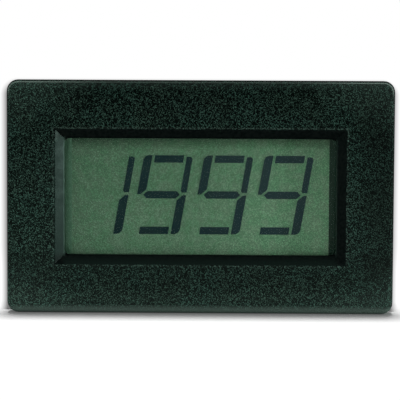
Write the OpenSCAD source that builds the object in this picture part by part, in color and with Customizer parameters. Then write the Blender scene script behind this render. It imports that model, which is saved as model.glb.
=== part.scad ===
// 3 1/2 digit liquid crystal panel meter.
// X runs to the right, Y to the rear, Z up. The origin is the middle of the panel cut-out,
// in the plane where the bezel's flange seats on the panel.

/* [Display cell] */
// Width of both display glasses
glass_w = 50.8; // [49:0.2:54]
// Height of the front glass with its two contact ledges
glass_h = 30.5; // [29:0.1:33]
// Height of each contact ledge
ledge_h = 2.55; // [2.3:0.05:3]
// Thickness of each glass
glass_t = 1.1; // [0.7:0.05:1.2]
// Thickness of the liquid crystal layer
cell_gap = 0.1; // [0.06:0.01:0.15]
// Width of the glue seal at the cell's sides
seal_w = 2.6; // [2:0.1:2.8]
// Width of the glue seal at the cell's top and bottom
seal_h = 1.2; // [0.8:0.1:2]
// Thickness of the front polarizer
polarizer_t = 0.2; // [0.15:0.01:0.25]
// Thickness of the rear polarizer and reflector
reflector_t = 0.3; // [0.2:0.01:0.4]
// Bare glass left round each film
film_margin = 0.5; // [0.3:0.1:1]
// Clearance round the glass
glass_gap = 0.2; // [0.1:0.05:0.25]

/* [Digits] */
// Height of a digit
digit_h = 14; // [12.7:0.1:15]
// Width of a digit
digit_w = 8.7; // [8:0.1:9]
// Distance between the feet of two full digits
digit_space = 2; // [1.6:0.1:2.2]
// Distance between the feet of the leading one and the first full digit
lead_space = 1.5; // [1.3:0.1:2.2]
// Clear room to the right of the last digit's head
digit_margin = 2.7; // [2:0.1:3.4]
// Height of the digits' middle above the window's middle
digit_lift = 0.25; // [-0.5:0.05:0.5]
// Lean of the digits, in degrees
slant = 10; // [0:1:12]
// Thickness of the three bars
bar_t = 1.3; // [1:0.1:1.5]
// Width of the upper left and lower right strokes
broad_stroke = 1.5; // [1.2:0.1:1.7]
// Width of the upper right and lower left strokes
narrow_stroke = 1.1; // [0.9:0.1:1.3]
// Gap between segments
segment_gap = 0.48; // [0.3:0.02:0.6]

/* [Window] */
// How far the opening stays inside the glass at each side
window_margin_x = 1.45; // [1.2:0.05:2.4]
// How far the opening stays inside the rear glass at top and bottom
window_margin_z = 2.45; // [2:0.05:3]
// Corner radius of the opening
window_r = 0.9; // [0.4:0.1:1.6]
// Width of the sloping surround
bevel_w = 1.7; // [1:0.1:2.2]
// Depth of the sloping surround
bevel_depth = 1.4; // [1:0.1:1.6]

/* [Bezel] */
// Depth of the bezel from its face to the panel seat
bezel_t = 4; // [3.6:0.1:5]
// Thickness of the wall in front of the display
face_wall = 2; // [1.8:0.1:2.4]
// How far the flange laps over the panel on each side
flange_lap = 2.5; // [2.3:0.1:3]
// Radius of the face's outer corners
corner_r = 2; // [1.6:0.2:3.6]
// Radius of the moulded edge round the face
edge_r = 1; // [0.4:0.1:1.2]

/* [Collar] */
// Room between the glass and the collar's side walls
side_room = 4.6; // [4.4:0.1:5]
// Room between the glass and the collar's top and bottom walls
end_room = 1.25; // [1:0.05:2]
// Wall thickness of the collar
collar_wall = 1.5; // [1.4:0.1:1.6]
// Length of the collar behind the panel seat
collar_depth = 15; // [14.6:0.2:20]
// Radius of the collar's outer corners
collar_r = 1; // [0.6:0.1:1.4]

/* [Board bosses and screws] */
// Radius of a screw boss
boss_r = 2.2; // [2:0.05:2.3]
// Clearance between a boss and the display glass
boss_gap = 0.3; // [0.2:0.05:0.4]
// Distance of a boss axis from the collar's top or bottom wall
boss_inset = 3.5; // [3:0.1:3.8]
// Radius of the pilot hole in a boss
pilot_r = 0.9; // [0.85:0.01:1]
// Radius of the screw's shank
shank_r = 0.82; // [0.7:0.01:0.84]
// Length of the screw under its head
shank_l = 5; // [4:0.1:5.6]
// Radius of the screw's head
screw_head_r = 1.8; // [1.5:0.05:1.9]
// Height of the screw's head
screw_head_h = 1.3; // [1:0.1:1.6]
// Clear room between a screw's head and the clamp channel's wall
driver_room = 1.7; // [1.4:0.1:2]

/* [Panel clamps] */
// Thickness of the panel that the clamps are set to
panel_t = 3; // [2.6:0.1:4]
// Length of a clamp along the collar
clamp_l = 8; // [7:0.1:9]
// Thickness of a clamp's base and side ribs
clamp_wall = 1.4; // [1.2:0.1:1.5]
// How far a clamp's foot reaches past the collar, over the panel
foot_reach = 2.1; // [1.6:0.1:2.2]
// Thickness of a clamp's foot
foot_t = 1.8; // [1.4:0.1:2.2]
// Width of the clamp's sprung tongue
tongue_w = 6.2; // [5:0.1:7]
// Width of the slits beside the tongue
slit_w = 0.6; // [0.4:0.1:0.8]
// Thickness of the thumb ridge at the tongue's end
ridge_t = 1.2; // [1:0.1:1.6]
// Width of the guide groove in the channel's side
groove_w = 1.2; // [1:0.1:1.4]
// Depth of the guide groove
groove_depth = 0.8; // [0.6:0.05:0.9]
// Pitch of the ratchet teeth
tooth_pitch = 1; // [0.8:0.1:1.4]
// Height of the ratchet teeth
tooth_h = 0.35; // [0.2:0.05:0.4]
// Width of the row of ratchet teeth
tooth_w = 4; // [3:0.1:5]
// Running clearance of a clamp
slide_gap = 0.12; // [0.08:0.01:0.15]

/* [Contact strips] */
// How far a strip's end stops short of the glass's edge
strip_inset = 1.9; // [1.5:0.1:3]
// Thickness of an elastomer strip
strip_t = 2; // [1.6:0.1:2.1]
// Clearance of a strip in its slot
strip_gap = 0.1; // [0.05:0.05:0.2]
// Depth of the frame that carries the strips
carrier_t = 3.7; // [3.2:0.1:4.2]
// Thickness of the frame's walls
carrier_wall = 1.2; // [1:0.1:1.4]

/* [Board] */
// Thickness of the circuit board
board_t = 1.6; // [1:0.1:2]
// Clearance between the board and the collar
board_gap = 0.2; // [0.1:0.05:0.3]
// Radius of a component's wire lead
wire_r = 0.28; // [0.25:0.01:0.3]
// Clearance round a lead in its hole
hole_gap = 0.15; // [0.1:0.01:0.2]
// Length of a lead's tail in front of the board
lead_tail = 1.2; // [0.8:0.1:1.8]

/* [Converter chip] */
// Side of the chip's square body
chip_side = 10; // [9.6:0.1:10.2]
// Thickness of the chip's body
chip_t = 2; // [1.6:0.1:2.4]
// Height of the chip's underside above the board
chip_standoff = 0.15; // [0.1:0.05:0.3]
// Number of leads on each side
lead_count = 11; // [8:1:11]
// Pitch of the leads
lead_pitch = 0.8; // [0.7:0.05:0.85]
// Width of a lead
lead_w = 0.35; // [0.3:0.05:0.4]
// Thickness of a lead
lead_t = 0.2; // [0.15:0.05:0.25]
// How far the leads reach past the body
lead_reach = 1.6; // [1.2:0.1:1.7]

/* [Calibration trimmer] */
// Side of the trimmer's square body
trimmer_side = 6.8; // [6.4:0.1:7]
// Height of the trimmer's body
trimmer_h = 4.9; // [4:0.1:5.5]
// Radius of the trimmer's rotor
rotor_r = 1.9; // [1.5:0.05:2.2]
// Thickness of the trimmer's rotor
rotor_t = 1.8; // [1.4:0.1:2.2]
// Depth of the screwdriver slot
slot_depth = 0.8; // [0.6:0.1:1]
// Running clearance round the rotor
rotor_gap = 0.06; // [0.04:0.01:0.08]
// Distance from the trimmer's middle to the board's right edge
trimmer_inset = 12.3; // [12:0.1:13]

/* [Capacitors] */
// Width of the two large film capacitors
large_cap_w = 10; // [9:0.1:10.4]
// Lead pitch of the two large film capacitors
large_cap_pitch = 7.5; // [7:0.1:7.6]
// Width of the two small film capacitors
small_cap_w = 7.2; // [6.8:0.1:7.6]
// Lead pitch of the two small film capacitors
small_cap_pitch = 5; // [4.8:0.1:5.2]
// Thickness of the integrator capacitor
integrator_t = 4; // [3.5:0.1:4.2]
// Height of the integrator capacitor
integrator_h = 7.8; // [7:0.1:8.2]
// Thickness of the auto-zero capacitor
auto_zero_t = 5; // [4.5:0.1:5.2]
// Height of the auto-zero capacitor
auto_zero_h = 8; // [7:0.1:8.4]
// Thickness of the reference capacitor
reference_t = 3.2; // [3:0.1:3.6]
// Height of the reference capacitor
reference_h = 6.5; // [6:0.1:7]
// Thickness of the input filter capacitor
filter_t = 2.5; // [2.3:0.1:3]
// Height of the input filter capacitor
filter_h = 6.2; // [6:0.1:7]
// Gap between two film capacitors
cap_gap = 1; // [0.8:0.1:1.2]
// Distance from the film capacitors' middle to the board's left edge
cap_inset = 13.6; // [13:0.1:14]
// Radius of the ceramic disc
disc_r = 2.6; // [2.2:0.1:2.8]
// Thickness of the ceramic disc
disc_t = 1.8; // [1.4:0.1:2]
// Lead pitch of the ceramic disc
disc_pitch = 2.54; // [2.4:0.02:2.6]
// Bare lead between the board and the disc's flat underside
disc_lift = 0.8; // [0.5:0.1:1.2]

/* [Resistors] */
// Length of a resistor's body
resistor_l = 6.3; // [5.8:0.1:6.8]
// Radius of a resistor's body between its end caps
resistor_r = 1; // [0.8:0.05:1.1]
// Radius of a resistor's end caps
end_cap_r = 1.2; // [1.1:0.05:1.3]
// Length of a resistor's end caps
end_cap_l = 1.5; // [1.2:0.1:1.8]
// Height of a resistor's underside above the board
resistor_lift = 0.2; // [0.1:0.05:0.4]
// Distance between a resistor's leads
resistor_pitch = 10.2; // [9.8:0.1:10.6]
// Radius of the bend in a resistor's lead
wire_bend_r = 0.9; // [0.7:0.05:1]
// Distance from one resistor to the next
resistor_spacing = 3.2; // [2.9:0.1:3.4]
// Distance from the top resistor's middle to the trimmer's body
resistor_gap = 2.8; // [2:0.1:3]
// Distance from the resistors' middle to the board's right edge
resistor_inset = 12.3; // [12.2:0.1:12.6]

/* [Terminals] */
// Number of terminal pins
pin_count = 4; // [2:1:4]
// Pitch of the terminal pins
pin_pitch = 5.08; // [3.81:0.01:5.1]
// Thickness of a square terminal pin
pin_w = 0.8; // [0.64:0.02:1]
// Height of a terminal pin's end above the board
pin_h = 8; // [6:0.1:9]
// Width of the terminal block across its row of pins
block_w = 5; // [4:0.1:5]
// Height of the terminal block
block_h = 2.5; // [2:0.1:3.2]
// Width of the notches that part the pins' places
notch_w = 0.8; // [0.6:0.1:1]

/* [Hidden] */

$fn = 48;
arc_steps = 6;      // straight pieces in a rounded outline's quarter circle
over = 0.5;         // how far a cutting tool runs past the surface it cuts
slice = 0.01;       // thickness of a slice under a hull, or of a joining overlap

// Depths of the stack, from the face to the back of the board
face_y = -bezel_t;
film_y = face_y + face_wall;
front_glass_y = film_y + polarizer_t;
cell_y = front_glass_y + glass_t;
rear_glass_y = cell_y + cell_gap;
reflector_y = rear_glass_y + glass_t;
carrier_y = reflector_y + reflector_t;
board_y = carrier_y + carrier_t;
back_y = board_y + board_t;
tail_y = board_y - lead_tail;

// The window, the collar and the bezel follow from the display glass
rear_glass_h = glass_h - 2 * ledge_h;
window_w = glass_w - 2 * window_margin_x;
window_h = rear_glass_h - 2 * window_margin_z;
inner_w = glass_w + 2 * side_room;
inner_h = glass_h + 2 * end_room;
collar_w = inner_w + 2 * collar_wall;
collar_h = inner_h + 2 * collar_wall;
bezel_w = collar_w + 2 * flange_lap;
bezel_h = collar_h + 2 * flange_lap;

// Bosses, and the channels for the clamps between them
boss_x = glass_w / 2 + boss_gap + boss_r;
boss_z = inner_h / 2 - boss_inset;
channel_floor = glass_w / 2 + glass_gap + boss_gap + collar_wall;
channel_half = boss_z - screw_head_r - driver_room - collar_wall;

// Clamps, and the grooves that guide them in the open part of the channel
clamp_x = channel_floor + tooth_h + slide_gap;
clamp_half = channel_half - slide_gap;
rim_x = collar_w / 2 - slide_gap;
groove_x = (clamp_x + clamp_wall + collar_w / 2) / 2 - slide_gap;
groove_start = panel_t - 2.4;

// Contact strips lie in the middle of the front glass's ledges
strip_l = glass_w - 2 * strip_inset;
strip_z = (glass_h + rear_glass_h) / 4;
strip_slot_t = strip_t + 2 * strip_gap;
carrier_open_h = 2 * (strip_z - strip_slot_t / 2 - carrier_wall);
carrier_open_w = glass_w - 2 * (strip_inset - strip_gap);

// Rows of parts on the board, inside the frame's opening where their tails reach
board_w = inner_w - 2 * board_gap;
top_row_z = carrier_open_h / 2 - wire_r - hole_gap - 0.4;
block_z = -top_row_z + pin_w / 2;
chip_z = (top_row_z - disc_t / 2 + block_z + block_w / 2) / 2;

cap_x = cap_inset - board_w / 2;
integrator_z = top_row_z;
auto_zero_z = integrator_z - (integrator_t + auto_zero_t) / 2 - cap_gap;
reference_z = auto_zero_z - (auto_zero_t + reference_t) / 2 - cap_gap;
filter_z = reference_z - (reference_t + filter_t) / 2 - cap_gap;
disc_flat = 0.8 * disc_r;   // distance of the disc's flat underside from its middle

trimmer_x = board_w / 2 - trimmer_inset;
trimmer_lead_x = trimmer_side * 0.37;
trimmer_lead_z = trimmer_side * 0.17;
trimmer_z = top_row_z - trimmer_lead_z;
rotor_y = back_y + trimmer_h - rotor_t;

resistor_x = board_w / 2 - resistor_inset;
resistor_y = back_y + end_cap_r + resistor_lift;
top_resistor_z = trimmer_z - trimmer_side / 2 - resistor_gap;
resistor_rows = [for (i = [0:3]) top_resistor_z - i * resistor_spacing];

// Where the leads go through the board, as places in the board's plane
large_cap_holes = [for (z = [integrator_z, auto_zero_z], s = [-1, 1]) [cap_x + s * large_cap_pitch / 2, z]];
small_cap_holes = [for (z = [reference_z, filter_z], s = [-1, 1]) [cap_x + s * small_cap_pitch / 2, z]];
film_cap_holes = concat(large_cap_holes, small_cap_holes);
disc_holes = [for (s = [-1, 1]) [s * disc_pitch / 2, top_row_z]];
resistor_holes = [for (z = resistor_rows, s = [-1, 1]) [resistor_x + s * resistor_pitch / 2, z]];
trimmer_holes = [for (s = [-1, 0, 1])
    [trimmer_x + s * trimmer_lead_x, trimmer_z + (s == 0 ? trimmer_lead_z : -trimmer_lead_z)]];
pin_places = [for (i = [0:pin_count - 1]) [(i - (pin_count - 1) / 2) * pin_pitch, block_z]];

// ---- Helpers ----

// A flat outline in X and Z, given thickness towards the rear from a depth y
module plate(y, t) {
    translate([0, y + t, 0]) rotate([90, 0, 0]) linear_extrude(height = t) children();
}

// A round bar along Y
module bar(x, z, r, y, l) {
    translate([x, y + l, z]) rotate([90, 0, 0]) cylinder(r = r, h = l);
}

// A box by its middle in X and Z, with its front at a depth y
module box(w, h, t, y, x = 0, z = 0) {
    translate([x - w / 2, y, z - h / 2]) cube([w, t, h]);
}

// A box by its middle in X and Z, cut right through something from a depth y
module slot(w, h, t, y, x = 0, z = 0) {
    box(w, h, t + 2 * over, y - over, x, z);
}

// Points of a quarter circle round a middle, starting at an angle
function quarter(x, z, r, start) =
    [for (i = [0:arc_steps]) let (a = start + i * 90 / arc_steps) [x + r * cos(a), z + r * sin(a)]];

function round_rect(w, h, r) = concat(
    quarter(w / 2 - r, h / 2 - r, r, 0), quarter(r - w / 2, h / 2 - r, r, 90),
    quarter(r - w / 2, r - h / 2, r, 180), quarter(w / 2 - r, r - h / 2, r, 270));

// The collar's outline, with a channel in each side; an inset gives the inside of its wall
module collar_outline(inset, r) {
    w = collar_w / 2 - inset;
    h = collar_h / 2 - inset;
    c = channel_half + inset;
    f = channel_floor - inset;
    polygon(concat(
        quarter(w - r, h - r, r, 0), quarter(r - w, h - r, r, 90),
        [[-w, c], [-f, c], [-f, -c], [-w, -c]],
        quarter(r - w, r - h, r, 180), quarter(w - r, r - h, r, 270),
        [[w, -c], [f, -c], [f, c], [w, c]]));
}

// ---- Bezel ----

// The face plate, with its moulded edge rounded over towards the front
module face_plate() {
    steps = 5;
    hull()
        for (i = [0:steps]) {
            a = i * 90 / steps;
            inset = edge_r * (1 - sin(a));
            plate(face_y + edge_r * (1 - cos(a)), slice)
                polygon(round_rect(bezel_w - 2 * inset, bezel_h - 2 * inset, corner_r - inset));
        }
    plate(face_y + edge_r, bezel_t - edge_r) polygon(round_rect(bezel_w, bezel_h, corner_r));
}

// The sloping surround, as a cutter that runs on past the face
module bevel_cutter() {
    grow = bevel_w * (1 + over / bevel_depth);
    near = [window_w / 2 + grow, window_h / 2 + grow];
    far = [window_w / 2, window_h / 2];
    y0 = face_y - over;
    y1 = face_y + bevel_depth;
    polyhedron(
        points = [[-near[0], y0, -near[1]], [near[0], y0, -near[1]], [near[0], y0, near[1]],
            [-near[0], y0, near[1]], [-far[0], y1, -far[1]], [far[0], y1, -far[1]],
            [far[0], y1, far[1]], [-far[0], y1, far[1]]],
        faces = [[3, 2, 1, 0], [4, 5, 6, 7], [0, 1, 5, 4], [1, 2, 6, 5], [2, 3, 7, 6], [3, 0, 4, 7]]);
}

// Ribs that centre the front glass between the collar's top and bottom walls
module glass_ribs() {
    low = glass_h / 2 + glass_gap;
    high = inner_h / 2 + over;
    for (s = [-1, 1], t = [-1, 1])
        box(2 * collar_wall, high - low, cell_y - film_y, film_y,
            x = s * glass_w / 3, z = t * (low + high) / 2);
}

// Sawteeth on the floor of the right channel, which the clamp clicks over
module ratchet() {
    root = channel_floor - collar_wall / 4;
    first = panel_t + tooth_pitch;
    count = floor((collar_depth - first) / tooth_pitch) - 1;
    for (i = [0:count - 1])
        translate([0, first + i * tooth_pitch, -tooth_w / 2])
            linear_extrude(height = tooth_w)
                polygon([[root, 0], [channel_floor, 0], [channel_floor + tooth_h, tooth_pitch * 0.8],
                    [channel_floor, tooth_pitch * 0.9], [root, tooth_pitch * 0.9]]);
}

module guide_grooves() {
    for (s = [0, 1]) mirror([0, 0, s])
        translate([groove_x - groove_w / 2, groove_start, channel_half - over])
            cube([groove_w, collar_depth, groove_depth + over]);
}

module front_bezel() {
    color("#1b2a26")
    difference() {
        union() {
            difference() {
                union() {
                    face_plate();
                    plate(-slice, collar_depth + slice) collar_outline(0, collar_r);
                }
                plate(film_y, collar_depth - film_y + over)
                    collar_outline(collar_wall, collar_r / 4);
            }
            glass_ribs();
            for (x = [-1, 1], z = [-1, 1])
                bar(x * boss_x, z * boss_z, boss_r, film_y - slice, board_y - film_y + slice);
            for (s = [0, 1]) mirror([s, 0, 0]) ratchet();
        }
        bevel_cutter();
        plate(face_y + bevel_depth - slice, face_wall) polygon(round_rect(window_w, window_h, window_r));
        for (x = [-1, 1], z = [-1, 1])
            bar(x * boss_x, z * boss_z, pilot_r, board_y - shank_l, shank_l + over);
        for (s = [0, 1]) mirror([s, 0, 0]) guide_grooves();
    }
}

// ---- Panel clamps ----

// The upper half of a clamp's side: rib, guide tongue and the web up to the foot
module clamp_side() {
    foot_x = collar_w / 2 + foot_reach;
    heel_y = panel_t + clamp_l - 2 * ridge_t;
    translate([0, 0, clamp_half - clamp_wall]) {
        translate([clamp_x, panel_t, 0]) cube([rim_x - clamp_x, clamp_l, clamp_wall]);
        translate([groove_x - groove_w / 2 + slide_gap, panel_t, 0])
            cube([groove_w - 2 * slide_gap, clamp_l, clamp_wall + groove_depth]);
        linear_extrude(height = clamp_wall)
            polygon([[clamp_x, panel_t], [foot_x - foot_reach / 5, panel_t],
                [foot_x - foot_reach / 5, panel_t + foot_t], [rim_x, heel_y], [clamp_x, heel_y]]);
    }
}

// The right-hand clamp; the left-hand one is its mirror image
module clamp() {
    slit_z = (tongue_w + slit_w) / 2;
    difference() {
        translate([clamp_x, panel_t, -clamp_half]) cube([clamp_wall, clamp_l, 2 * clamp_half]);
        // slits that free the sprung tongue
        for (s = [-1, 1])
            translate([clamp_x - over, panel_t + foot_t + slit_w, s * slit_z - slit_w / 2])
                cube([clamp_wall + 2 * over, clamp_l, slit_w]);
    }
    for (s = [0, 1]) mirror([0, 0, s]) clamp_side();
    // foot that bears on the back of the panel
    translate([clamp_x, panel_t, -clamp_half])
        cube([collar_w / 2 + foot_reach - clamp_x, foot_t, 2 * clamp_half]);
    // ridge for the thumb at the tongue's end
    translate([clamp_x, panel_t + clamp_l - ridge_t, slit_w / 2 - tongue_w / 2])
        cube([rim_x - clamp_x, ridge_t, tongue_w - slit_w]);
}

module right_panel_clamp() {
    color("#22262a") clamp();
}

module left_panel_clamp() {
    color("#22262a") mirror([1, 0, 0]) clamp();
}

// ---- Board screws ----

module board_screws() {
    recess = [1.3 * screw_head_r, screw_head_h, screw_head_r / 4];
    color("#b9bcc0")
    for (x = [-1, 1], z = [-1, 1])
        difference() {
            union() {
                bar(x * boss_x, z * boss_z, screw_head_r, back_y, screw_head_h);
                bar(x * boss_x, z * boss_z, shank_r, back_y - shank_l, shank_l + slice);
            }
            for (turn = [20, 110])
                translate([x * boss_x, back_y + screw_head_h, z * boss_z])
                    rotate([0, turn, 0]) cube(recess, center = true);
        }
}

// ---- Display cell ----

module lcd_front_polarizer() {
    color("#4c6b57", 0.3)
    box(glass_w - 2 * film_margin, glass_h - 2 * film_margin, polarizer_t, film_y);
}

module lcd_front_glass() {
    color("#a9c0b4", 0.35) box(glass_w, glass_h, glass_t, front_glass_y);
}

module lcd_perimeter_seal() {
    color("#2f4a3a")
    difference() {
        box(glass_w, rear_glass_h, cell_gap, cell_y);
        slot(glass_w - 2 * seal_w, rear_glass_h - 2 * seal_h, cell_gap, cell_y);
    }
}

module lcd_rear_glass() {
    color("#a9c0b4", 0.35) box(glass_w, rear_glass_h, glass_t, rear_glass_y);
}

module lcd_rear_reflector() {
    color("#5f8a6a")
    box(glass_w - 2 * film_margin, rear_glass_h - 2 * film_margin, reflector_t, reflector_y);
}

// Outlines of an upright digit's segments, with its lower left corner at the origin.
// A figure looks the same turned half round, so c, d and e are f, a and b turned.
segment_low = bar_t / 2 - segment_gap / 2;
function seg_f() = let (low = digit_h / 2 + segment_low / 5, cut = broad_stroke * 0.6) concat(
    [[0, low], [broad_stroke - cut, low], [broad_stroke, low + cut], [broad_stroke, digit_h]],
    quarter(cut, digit_h - cut, cut, 90));
function seg_a() =
    let (x0 = broad_stroke + segment_gap, x1 = digit_w - narrow_stroke - segment_gap)
    [[x0, digit_h - bar_t], [x1, digit_h - bar_t], [x1, digit_h], [x0, digit_h]];
function seg_b() =
    let (x0 = digit_w - narrow_stroke, low = digit_h / 2 + segment_low, top = digit_h - segment_gap / 2,
        r = narrow_stroke / 2) concat(
    [[x0, low + r / 2], [x0 + r / 2, low], [digit_w, low]],
    quarter(digit_w - r, top - r, r, 0), [[x0, top]]);
function seg_g() =
    let (m = digit_h / 2, h = bar_t / 2, x0 = narrow_stroke, x1 = digit_w - narrow_stroke)
    [[x0, m], [x0 + h, m - h], [x1 - h, m - h], [x1, m], [x1 - h, m + h], [x0 + h, m + h]];
function turned(points) = [for (p = points) [digit_w - p[0], digit_h - p[1]]];

// One segment, leaning with the digit
module segment(points) {
    plate(cell_y, cell_gap) polygon([for (p = points) [p[0] + p[1] * tan(slant), p[1]]]);
}

module digit_one() {
    segment(seg_b());
    segment(turned(seg_f()));
}

module digit_nine() {
    digit_one();
    segment(seg_a());
    segment(turned(seg_a()));
    segment(seg_f());
    segment(seg_g());
}

module lcd_digit_segments() {
    last_x = glass_w / 2 - seal_w - digit_margin - digit_h * tan(slant) - digit_w;
    color("#1c2b31")
    translate([last_x, 0, digit_lift - digit_h / 2]) {
        for (i = [0:2]) translate([-i * (digit_w + digit_space), 0, 0]) digit_nine();
        translate([-3 * digit_w - 2 * digit_space - lead_space, 0, 0]) digit_one();
    }
}

// ---- Contacts between display and board ----

module contact_strip(side) {
    color("#2b2b2e") box(strip_l, strip_t, board_y - cell_y, cell_y, z = side * strip_z);
}

module upper_contact_strip() {
    contact_strip(1);
}

module lower_contact_strip() {
    contact_strip(-1);
}

module strip_carrier() {
    color("#d9d6cc")
    difference() {
        box(glass_w, inner_h - 2 * glass_gap, carrier_t, carrier_y);
        slot(carrier_open_w, carrier_open_h, carrier_t, carrier_y);
        for (s = [-1, 1])
            slot(strip_l + 2 * strip_gap, strip_slot_t, carrier_t, carrier_y, z = s * strip_z);
    }
}

// ---- Circuit board ----

module circuit_board() {
    color("#1f5a34")
    difference() {
        plate(board_y, board_t) collar_outline(collar_wall + board_gap, collar_r / 4);
        for (x = [-1, 1], z = [-1, 1])
            bar(x * boss_x, z * boss_z, shank_r + hole_gap, board_y - over, board_t + 2 * over);
        for (p = concat(film_cap_holes, disc_holes, resistor_holes, trimmer_holes))
            bar(p[0], p[1], wire_r + hole_gap, board_y - over, board_t + 2 * over);
        for (p = pin_places)
            bar(p[0], p[1], pin_w / sqrt(2) + hole_gap, board_y - over, board_t + 2 * over);
    }
}

// ---- Converter chip ----

module converter_chip() {
    s = chip_side / 2;
    c = chip_side / 20;         // chamfer of the body's corners
    dot = s - 3 * c;            // place of the dimple that marks the first lead
    color("#232427")
    difference() {
        translate([0, 0, chip_z]) plate(back_y + chip_standoff, chip_t)
            polygon([[c - s, -s], [s - c, -s], [s, c - s], [s, s - c], [s - c, s], [c - s, s],
                [-s, s - c], [-s, c - s]]);
        bar(dot, chip_z + dot, c, back_y + chip_standoff + chip_t - lead_t, over);
    }
}

// One gull-wing lead that leaves the chip's side towards +X
module gull_lead() {
    s = chip_side / 2;
    top = back_y + chip_standoff + chip_t / 2;
    linear_extrude(height = lead_w, center = true)
        polygon([[s, top], [s + 0.3 * lead_reach, top], [s + 0.5 * lead_reach, back_y + lead_t],
            [s + lead_reach, back_y + lead_t], [s + lead_reach, back_y], [s + 0.4 * lead_reach, back_y],
            [s + 0.2 * lead_reach, top - lead_t], [s, top - lead_t]]);
}

module converter_chip_leads() {
    color("#c3c6ca")
    for (side = [0:3], i = [0:lead_count - 1])
        translate([0, 0, chip_z]) rotate([0, side * 90, 0])
            translate([0, 0, (i - (lead_count - 1) / 2) * lead_pitch]) gull_lead();
}

// ---- Calibration trimmer ----

module trimmer_body() {
    color("#2f62a8")
    difference() {
        box(trimmer_side, trimmer_side, trimmer_h, back_y, x = trimmer_x, z = trimmer_z);
        bar(trimmer_x, trimmer_z, rotor_r + rotor_gap, rotor_y - rotor_gap, trimmer_h);
    }
}

module trimmer_rotor() {
    color("#e9e4d2")
    difference() {
        bar(trimmer_x, trimmer_z, rotor_r, rotor_y, rotor_t);
        // screwdriver slot
        box(rotor_r / 3, 2 * rotor_r + over, slot_depth + over, rotor_y + rotor_t - slot_depth,
            x = trimmer_x, z = trimmer_z);
    }
}

module trimmer_leads() {
    color("#c3c6ca")
    for (p = trimmer_holes) bar(p[0], p[1], wire_r, tail_y, back_y - tail_y);
}

// ---- Capacitors ----

module film_capacitor(w, t, h, z) {
    color("#b3322a") box(w, t, h, back_y, x = cap_x, z = z);
}

module integrator_capacitor() {
    film_capacitor(large_cap_w, integrator_t, integrator_h, integrator_z);
}

module auto_zero_capacitor() {
    film_capacitor(large_cap_w, auto_zero_t, auto_zero_h, auto_zero_z);
}

module reference_capacitor() {
    film_capacitor(small_cap_w, reference_t, reference_h, reference_z);
}

module input_filter_capacitor() {
    film_capacitor(small_cap_w, filter_t, filter_h, filter_z);
}

module oscillator_capacitor() {
    color("#c98a3a")
    translate([0, back_y + disc_lift, top_row_z])
        difference() {
            translate([0, disc_flat, -disc_t / 2]) cylinder(r = disc_r, h = disc_t);
            translate([-disc_r, -disc_r, -disc_t]) cube([2 * disc_r, disc_r, 2 * disc_t]);
        }
}

module capacitor_leads() {
    color("#c3c6ca") {
        for (p = film_cap_holes) bar(p[0], p[1], wire_r, tail_y, back_y - tail_y);
        for (p = disc_holes) bar(p[0], p[1], wire_r, tail_y, back_y + disc_lift - tail_y);
    }
}

// ---- Resistors ----

module resistor(row) {
    color("#c9b184")
    translate([resistor_x - resistor_l / 2, resistor_y, resistor_rows[row]])
        rotate([0, 90, 0]) {
            cylinder(r = resistor_r, h = resistor_l);
            for (x = [0, resistor_l - end_cap_l])
                translate([0, 0, x]) cylinder(r = end_cap_r, h = end_cap_l);
        }
}

module reference_resistor() {
    resistor(0);
}

module integrator_resistor() {
    resistor(1);
}

module oscillator_resistor() {
    resistor(2);
}

module input_resistor() {
    resistor(3);
}

// A wire that leaves the body along X, bends and goes down through the board
module bent_lead() {
    run = (resistor_pitch - resistor_l) / 2 - wire_bend_r;
    rotate([0, 90, 0]) cylinder(r = wire_r, h = run);
    translate([run, -wire_bend_r, 0]) {
        rotate_extrude(angle = 90) translate([wire_bend_r, 0]) circle(r = wire_r);
        translate([wire_bend_r, 0, 0]) rotate([90, 0, 0])
            cylinder(r = wire_r, h = resistor_y - wire_bend_r - tail_y);
    }
}

module resistor_leads() {
    color("#c3c6ca")
    for (z = resistor_rows, s = [0, 1])
        translate([resistor_x, resistor_y, z]) mirror([s, 0, 0])
            translate([resistor_l / 2, 0, 0]) bent_lead();
}

// ---- Terminals ----

module terminal_block() {
    color("#1d1e20")
    difference() {
        box(pin_count * pin_pitch, block_w, block_h, back_y, z = block_z);
        for (p = pin_places) slot(pin_w, pin_w, block_h, back_y, x = p[0], z = p[1]);
        for (i = [1:pin_count - 1], s = [-1, 1])
            slot(notch_w, notch_w, block_h, back_y, x = (i - pin_count / 2) * pin_pitch,
                z = block_z + s * block_w / 2);
    }
}

module terminal_pins() {
    color("#cfb35a")
    for (p = pin_places) box(pin_w, pin_w, back_y + pin_h - tail_y, tail_y, x = p[0], z = p[1]);
}

front_bezel();
left_panel_clamp();
right_panel_clamp();
board_screws();
lcd_front_polarizer();
lcd_front_glass();
lcd_perimeter_seal();
lcd_digit_segments();
lcd_rear_glass();
lcd_rear_reflector();
upper_contact_strip();
lower_contact_strip();
strip_carrier();
circuit_board();
converter_chip();
converter_chip_leads();
trimmer_body();
trimmer_rotor();
trimmer_leads();
integrator_capacitor();
auto_zero_capacitor();
reference_capacitor();
input_filter_capacitor();
oscillator_capacitor();
capacitor_leads();
reference_resistor();
integrator_resistor();
oscillator_resistor();
input_resistor();
resistor_leads();
terminal_block();
terminal_pins();
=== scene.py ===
# Looks, light and camera for the 3 1/2 digit panel meter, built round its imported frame.
import functools
import math
import bmesh
import bpy
from mathutils import Matrix, Vector


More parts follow.
